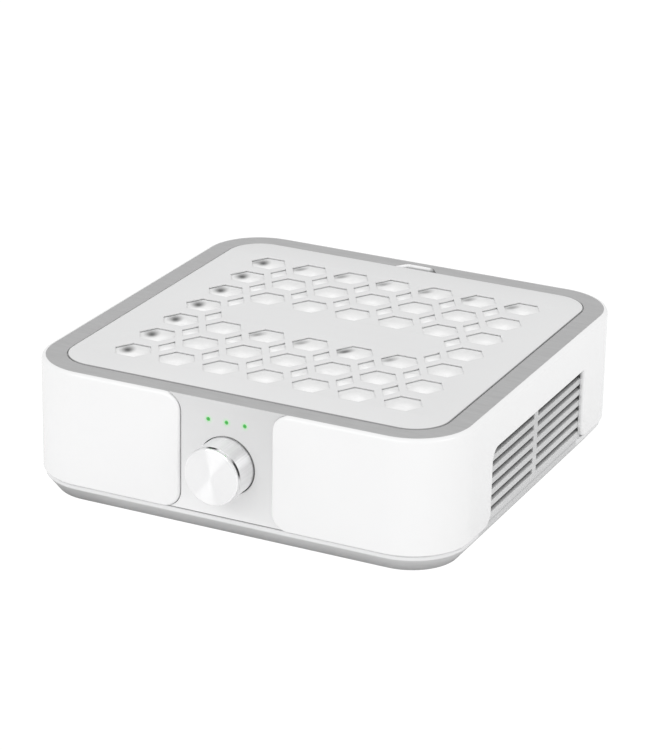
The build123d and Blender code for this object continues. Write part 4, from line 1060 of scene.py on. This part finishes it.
# Painted shade: the pores are darker inside.
pore_depth_and_shade = spread(pores.outputs["Distance"], 0.0, 0.6)
feed(shader.inputs["Base Color"], blend_colours(pore_depth_and_shade, (0.02, 0.02, 0.02), (0.07, 0.07, 0.07)))
relief(pore_depth_and_shade, shader, 0.2 * mm)
dress(foam, "filter_seal")

# The pad swells softly into each opening of the cover. It has sunk at the openings of the left column,
# and less along those of the back row and of the row in front of the plain field.
pad_low, pad_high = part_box("filter_pad")
cover_low, cover_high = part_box("cover_grille")
grille_centre = (cover_low + cover_high) / 2
hexagon_across = 20.2 * mm
hexagon_pitch = 28.2 * mm
grille_bar = 4.35 * mm
openings_across = 7
diamond_inside = hexagon_pitch / 2 * (math.cos(math.radians(30)) + math.sin(math.radians(30)))
diamond_inside -= hexagon_across / 2 + grille_bar
middle = (openings_across - 1) / 2


def opening_place(column, row):
    """Middle of the opening in a column and row; halves are the diamonds between the hexagons."""
    return Vector((
        grille_centre.x + (column - middle) * hexagon_pitch,
        grille_centre.y + (row - middle) * hexagon_pitch,
    ))


def grid_place(x, y):
    """Column and row of a point, counted from the front left hexagon, with the parts between."""
    return (x - grille_centre.x) / hexagon_pitch + middle, (y - grille_centre.y) / hexagon_pitch + middle


def closed(column, row):
    """True in the plain field in the middle of the plate."""
    return abs(row - middle) < 1 and 0 < column < openings_across - 1


def facing(off, *angles):
    """Greatest reach of an offset along some directions, given in degrees from the right."""
    turns = [math.radians(angle) for angle in angles]
    return max(off.x * math.cos(turn) + off.y * math.sin(turn) for turn in turns)


def depths_inside(x, y):
    """How far a point lies inside its nearest opening, and how far from that opening's back edges."""
    column, row = grid_place(x, y)
    found = (-hexagon_pitch, -hexagon_pitch)
    near_column = min(max(round(column), 0), openings_across - 1)
    near_row = min(max(round(row), 0), openings_across - 1)
    if not closed(near_column, near_row):
        off = Vector((x, y)) - opening_place(near_column, near_row)
        apothem = hexagon_across / 2
        found = (apothem - facing(off, 30, 90, 150, 210, 270, 330), apothem - facing(off, 90, 150))
    half_column = min(max(math.floor(column), 0), openings_across - 2) + 0.5
    half_row = min(max(math.floor(row), 0), openings_across - 2) + 0.5
    if not (closed(half_column, half_row) and 1 < half_column < openings_across - 2):
        off = Vector((x, y)) - opening_place(half_column, half_row)
        inside = diamond_inside - facing(off, 30, 150, 210, 330)
        found = max(found, (inside, diamond_inside - facing(off, 150)))
    return found


pad_swell = 0.85 * mm
pad_sink = 0.8 * mm
pad_shoulder = 1.2 * mm
pad_tuck = 1.0 * mm
pad_bed = pad_high.z + 0.2 * mm
# Painted light: each opening's bright spot sits this far from its middle.
painted_light_spot = Vector((2.7, -6.7)) * mm
painted_light_reach = 11.6 * mm
diamond_share = 0.6
long_hollow = (3.2 * mm, 5.5 * mm)

# Each hollow is (middle, half width, half length, how deep from 0 to 1, heading in degrees).
hollows = []
for row in range(openings_across):
    hollows.append((opening_place(0, row) + Vector((-4.1, 0.8)) * mm, 5.6 * mm, 3.7 * mm, 0.95, 25))
for column in range(openings_across):
    back_place = opening_place(column, openings_across - 1)
    hollows.append((back_place + Vector((-6.9, 0.9)) * mm, *long_hollow, 0.62, 60))
for column, amount in ((2, 0.65), (3, 0.6), (4, 0.9), (5, 0.6)):
    field_place = opening_place(column, middle - 1)
    hollows.append((field_place + Vector((-6.6, 0.8)) * mm, *long_hollow, amount, 60))


def sunk(x, y):
    """How far the pad has sunk at a point, from 0 to 1."""
    most = 0.0
    for place_there, across, along, amount, heading in hollows:
        off_x, off_y = Vector((x, y)) - place_there
        if abs(off_x) > hexagon_across / 2 or abs(off_y) > hexagon_across / 2:
            continue
        turn = math.radians(heading)
        forward = off_x * math.cos(turn) + off_y * math.sin(turn)
        sideways = -off_x * math.sin(turn) + off_y * math.cos(turn)
        most = max(most, amount * math.exp(-((sideways / across) ** 2) - (forward / along) ** 2))
    return most


def dusty(x, y):
    """How much painted shade the pad has at a point: none in the front half of each opening, more towards
    its back.
    """
    column, row = grid_place(x, y)
    diamond_place = opening_place(math.floor(column) + 0.5, math.floor(row) + 0.5)
    to_hexagon = Vector((x, y)) - opening_place(round(column), round(row)) - painted_light_spot
    to_diamond = Vector((x, y)) - diamond_place - painted_light_spot * diamond_share
    share = min(to_hexagon.length / painted_light_reach, to_diamond.length / (painted_light_reach * diamond_share), 1.0)
    return share * share * (3 - 2 * share)


pad_step = 1.0 * mm
pad_corner = 10.7 * mm
pad_columns = round((pad_high.x - pad_low.x) / pad_step)
pad_rows = round((pad_high.y - pad_low.y) / pad_step)
pad_shape = bmesh.new()
hollow_layer = pad_shape.verts.layers.float.new("hollow")
dust_layer = pad_shape.verts.layers.float.new("dust")


def pad_edge_pull(x, y):
    """Round the pad's corners in plan by pulling the grid's corner points inwards."""
    centre = (pad_low + pad_high) / 2
    half = (pad_high.x - pad_low.x) / 2
    off_x, off_y = x - centre.x, y - centre.y
    reach = max(abs(off_x), abs(off_y))
    turn = math.atan2(off_y, off_x)
    unit_x, unit_y = abs(math.cos(turn)), abs(math.sin(turn))
    straight = half / max(unit_x, unit_y)
    flat = half - pad_corner
    rounded = straight
    if unit_x * straight > flat and unit_y * straight > flat:
        along = (unit_x + unit_y) * flat
        rounded = along + math.sqrt(max(along * along - 2 * flat * flat + pad_corner * pad_corner, 0))
    keep = 1 - (1 - rounded / straight) * (reach / half) ** 6
    return centre.x + off_x * keep, centre.y + off_y * keep


pad_top_rows = []
for row in range(pad_rows + 1):
    line = []
    for column in range(pad_columns + 1):
        x, y = pad_edge_pull(pad_low.x + column * pad_step, pad_low.y + row * pad_step)
        inside, from_back = depths_inside(x, y)
        low_there = sunk(x, y)
        fullness = min(max(inside / pad_tuck + 1.2, 0.0), 1.0)
        fullness *= 1 - math.exp(-max(from_back, 0.0) / pad_shoulder)
        z = pad_bed + pad_swell * fullness - pad_sink * low_there
        point = pad_shape.verts.new((x, y, z))
        point[hollow_layer] = low_there
        point[dust_layer] = dusty(x, y)
        line.append(point)
    pad_top_rows.append(line)
for lower, upper in zip(pad_top_rows, pad_top_rows[1:]):
    for n in range(pad_columns):
        pad_shape.faces.new((lower[n], lower[n + 1], upper[n + 1], upper[n]))
rim_edges = [side for side in pad_shape.edges if side.is_boundary]
skirt = bmesh.ops.extrude_edge_only(pad_shape, edges=rim_edges)["geom"]
for part in skirt:
    if isinstance(part, bmesh.types.BMVert):
        part.co.z = pad_low.z
bmesh.ops.contextual_create(pad_shape, geom=[part for part in skirt if isinstance(part, bmesh.types.BMEdge)])
bmesh.ops.recalc_face_normals(pad_shape, faces=pad_shape.faces)
pad_mesh = smooth_mesh("fibre_pad", pad_shape, 50)
pad = new_object("fibre_pad", pad_mesh)

# Painted light: the front part of each spot glows faintly; painted shade greys the rest and darkens the
# hollows.
pad_finish, tree, shader = new_finish("white_fibre_pad", (0.9, 0.9, 0.9), 0.95)
shader.inputs["Sheen Weight"].default_value = 0.1
shader.inputs["Emission Strength"].default_value = 0.08
fibres = place_effect(tree, laid_fibres, Place=on_the_piece(tree), Fibres_per_metre=1100.0)
stored = {}
for layer in ("hollow", "dust"):
    attribute = tree.nodes.new("ShaderNodeAttribute")
    attribute.attribute_name = layer
    stored[layer] = attribute.outputs["Fac"]
fibre_white = blend_colours(fibres["Clump"], (0.98, 0.98, 0.98), (0.84, 0.84, 0.84))
dusty_white = blend_colours(stored["dust"], fibre_white, (0.83, 0.83, 0.83))
# Painted shade in the hollows.
shadowed = spread(stored["hollow"], 0.1, 0.95)
feed(shader.inputs["Base Color"], blend_colours(shadowed, dusty_white, (0.08, 0.08, 0.08)))
feed(shader.inputs["Emission Color"], blend_colours(stored["dust"], painted_glow_white, unlit))
relief(fibres["Fibre"], shader, 0.06 * mm)
pad_mesh.materials.append(pad_finish)
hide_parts("filter_pad")
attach(pad, "filter")

# ---- Cover ---------------------------------------------------------------------------------------
# Matt light grey plate with softened openings and a plain field in the middle, thinned under the
# openings. It lies loose on the ring's ledge and lifts off by the notch.
cover_corner = 21.4 * mm
cover_soft_edge = 0.45 * mm
cover_width = cover_high.x - cover_low.x
field_width = cover_width - 31.2 * mm
border_soft_edge = 0.1 * mm
plate_thickness = 1.2 * mm
plate_under = cover_high.z - plate_thickness


def round_square(centre, width, corner, steps=16):
    """Plan of a square with round corners."""
    half = width / 2 - corner
    points = []
    for quarter, (side_x, side_y) in enumerate(((1, 1), (-1, 1), (-1, -1), (1, -1))):
        for step in range(steps + 1):
            turn = (quarter + step / steps) * math.pi / 2
            points.append((
                centre.x + side_x * half + corner * math.cos(turn),
                centre.y + side_y * half + corner * math.sin(turn),
            ))
    return points


def plate(name, outlines, thickness, soft_edge, top_z):
    """Flat plate with openings and softened edges, as a mesh."""
    curve = bpy.data.curves.new(name, "CURVE")
    curve.dimensions = "2D"
    curve.fill_mode = "BOTH"
    curve.extrude = thickness / 2 - soft_edge
    curve.bevel_depth = soft_edge
    curve.bevel_resolution = 2
    curve.offset = -soft_edge
    for corners in outlines:
        spline = curve.splines.new("POLY")
        spline.points.add(len(corners) - 1)
        for point, (x, y) in zip(spline.points, corners):
            point.co = (x, y, 0, 1)
        spline.use_cyclic_u = True
    holder = new_object(name, curve)
    holder.location.z = top_z - thickness / 2
    bpy.context.view_layer.update()
    made = bpy.data.meshes.new_from_object(holder.evaluated_get(bpy.context.evaluated_depsgraph_get()))
    made.transform(holder.matrix_world)
    bpy.data.objects.remove(holder)
    return made


hexagon_radius = hexagon_across / 2 / math.cos(math.radians(30))
diamond_half_width = diamond_inside / math.cos(math.radians(30))
diamond_half_depth = diamond_inside / math.sin(math.radians(30))
hexagons = []
for column in range(openings_across):
    for row in range(openings_across):
        if not closed(column, row):
            there = opening_place(column, row)
            hexagons.append([
                (there.x + hexagon_radius * math.cos(turn), there.y + hexagon_radius * math.sin(turn))
                for turn in (n * math.pi / 3 for n in range(6))
            ])
diamonds = []
for column in [n + 0.5 for n in range(openings_across - 1)]:
    for row in [n + 0.5 for n in range(openings_across - 1)]:
        if not (closed(column, row) and 1 < column < openings_across - 2):
            there = opening_place(column, row)
            diamonds.append([
                (there.x + diamond_half_width, there.y),
                (there.x, there.y + diamond_half_depth),
                (there.x - diamond_half_width, there.y),
                (there.x, there.y - diamond_half_depth),
            ])
cover_outline = round_square(grille_centre, cover_width, cover_corner)
field_outline = round_square(grille_centre, field_width, cover_corner / 2)
plate_mesh = plate(
    "cover_plate", [cover_outline, *hexagons, *diamonds], plate_thickness, cover_soft_edge, cover_high.z
)
border_mesh = plate(
    "cover_border", [cover_outline, field_outline], plate_under - cover_low.z, border_soft_edge, plate_under
)
cover_shape = bmesh.new()
cover_shape.from_mesh(plate_mesh)
cover_shape.from_mesh(border_mesh)
bmesh.ops.remove_doubles(cover_shape, verts=cover_shape.verts, dist=0.001 * mm)
cover_mesh = smooth_mesh("honeycomb_cover", cover_shape, 32)
cover = new_object("honeycomb_cover", cover_mesh)

# A thin painted shadow line runs round the cover's edge, where it meets the ring.
edge_painted_shadow_grey = (0.36, 0.36, 0.362)
cover_finish, tree, shader = new_finish("cover_plastic", (0.72, 0.722, 0.725), 0.5)
place = on_the_piece(tree)
grain = place_effect(
    tree, moulded_grain, Place=place, Drift_per_metre=8.0,
    Colour=(0.755, 0.756, 0.758), Drifted_colour=(0.735, 0.736, 0.738), Smooth=0.44, Rough=0.56,
)
cover_x, cover_y, _ = axes_of(place)
past_corner = []
for along, centre_there in ((cover_x, grille_centre.x), (cover_y, grille_centre.y)):
    past = maths("SUBTRACT", off_centre(along, centre_there), cover_width / 2 - cover_corner)
    past_corner.append(maths("MAXIMUM", past, 0.0))
to_edge = length_of(*past_corner)
at_the_edge = spread(to_edge, cover_corner - 0.3 * mm, cover_corner - 0.15 * mm)
wear(shader, blend_colours(at_the_edge, grain["Colour"], edge_painted_shadow_grey), grain, 0.02 * mm)
cover_mesh.materials.clear()
cover_mesh.materials.append(cover_finish)
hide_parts("cover_grille")
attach(cover, "cover")
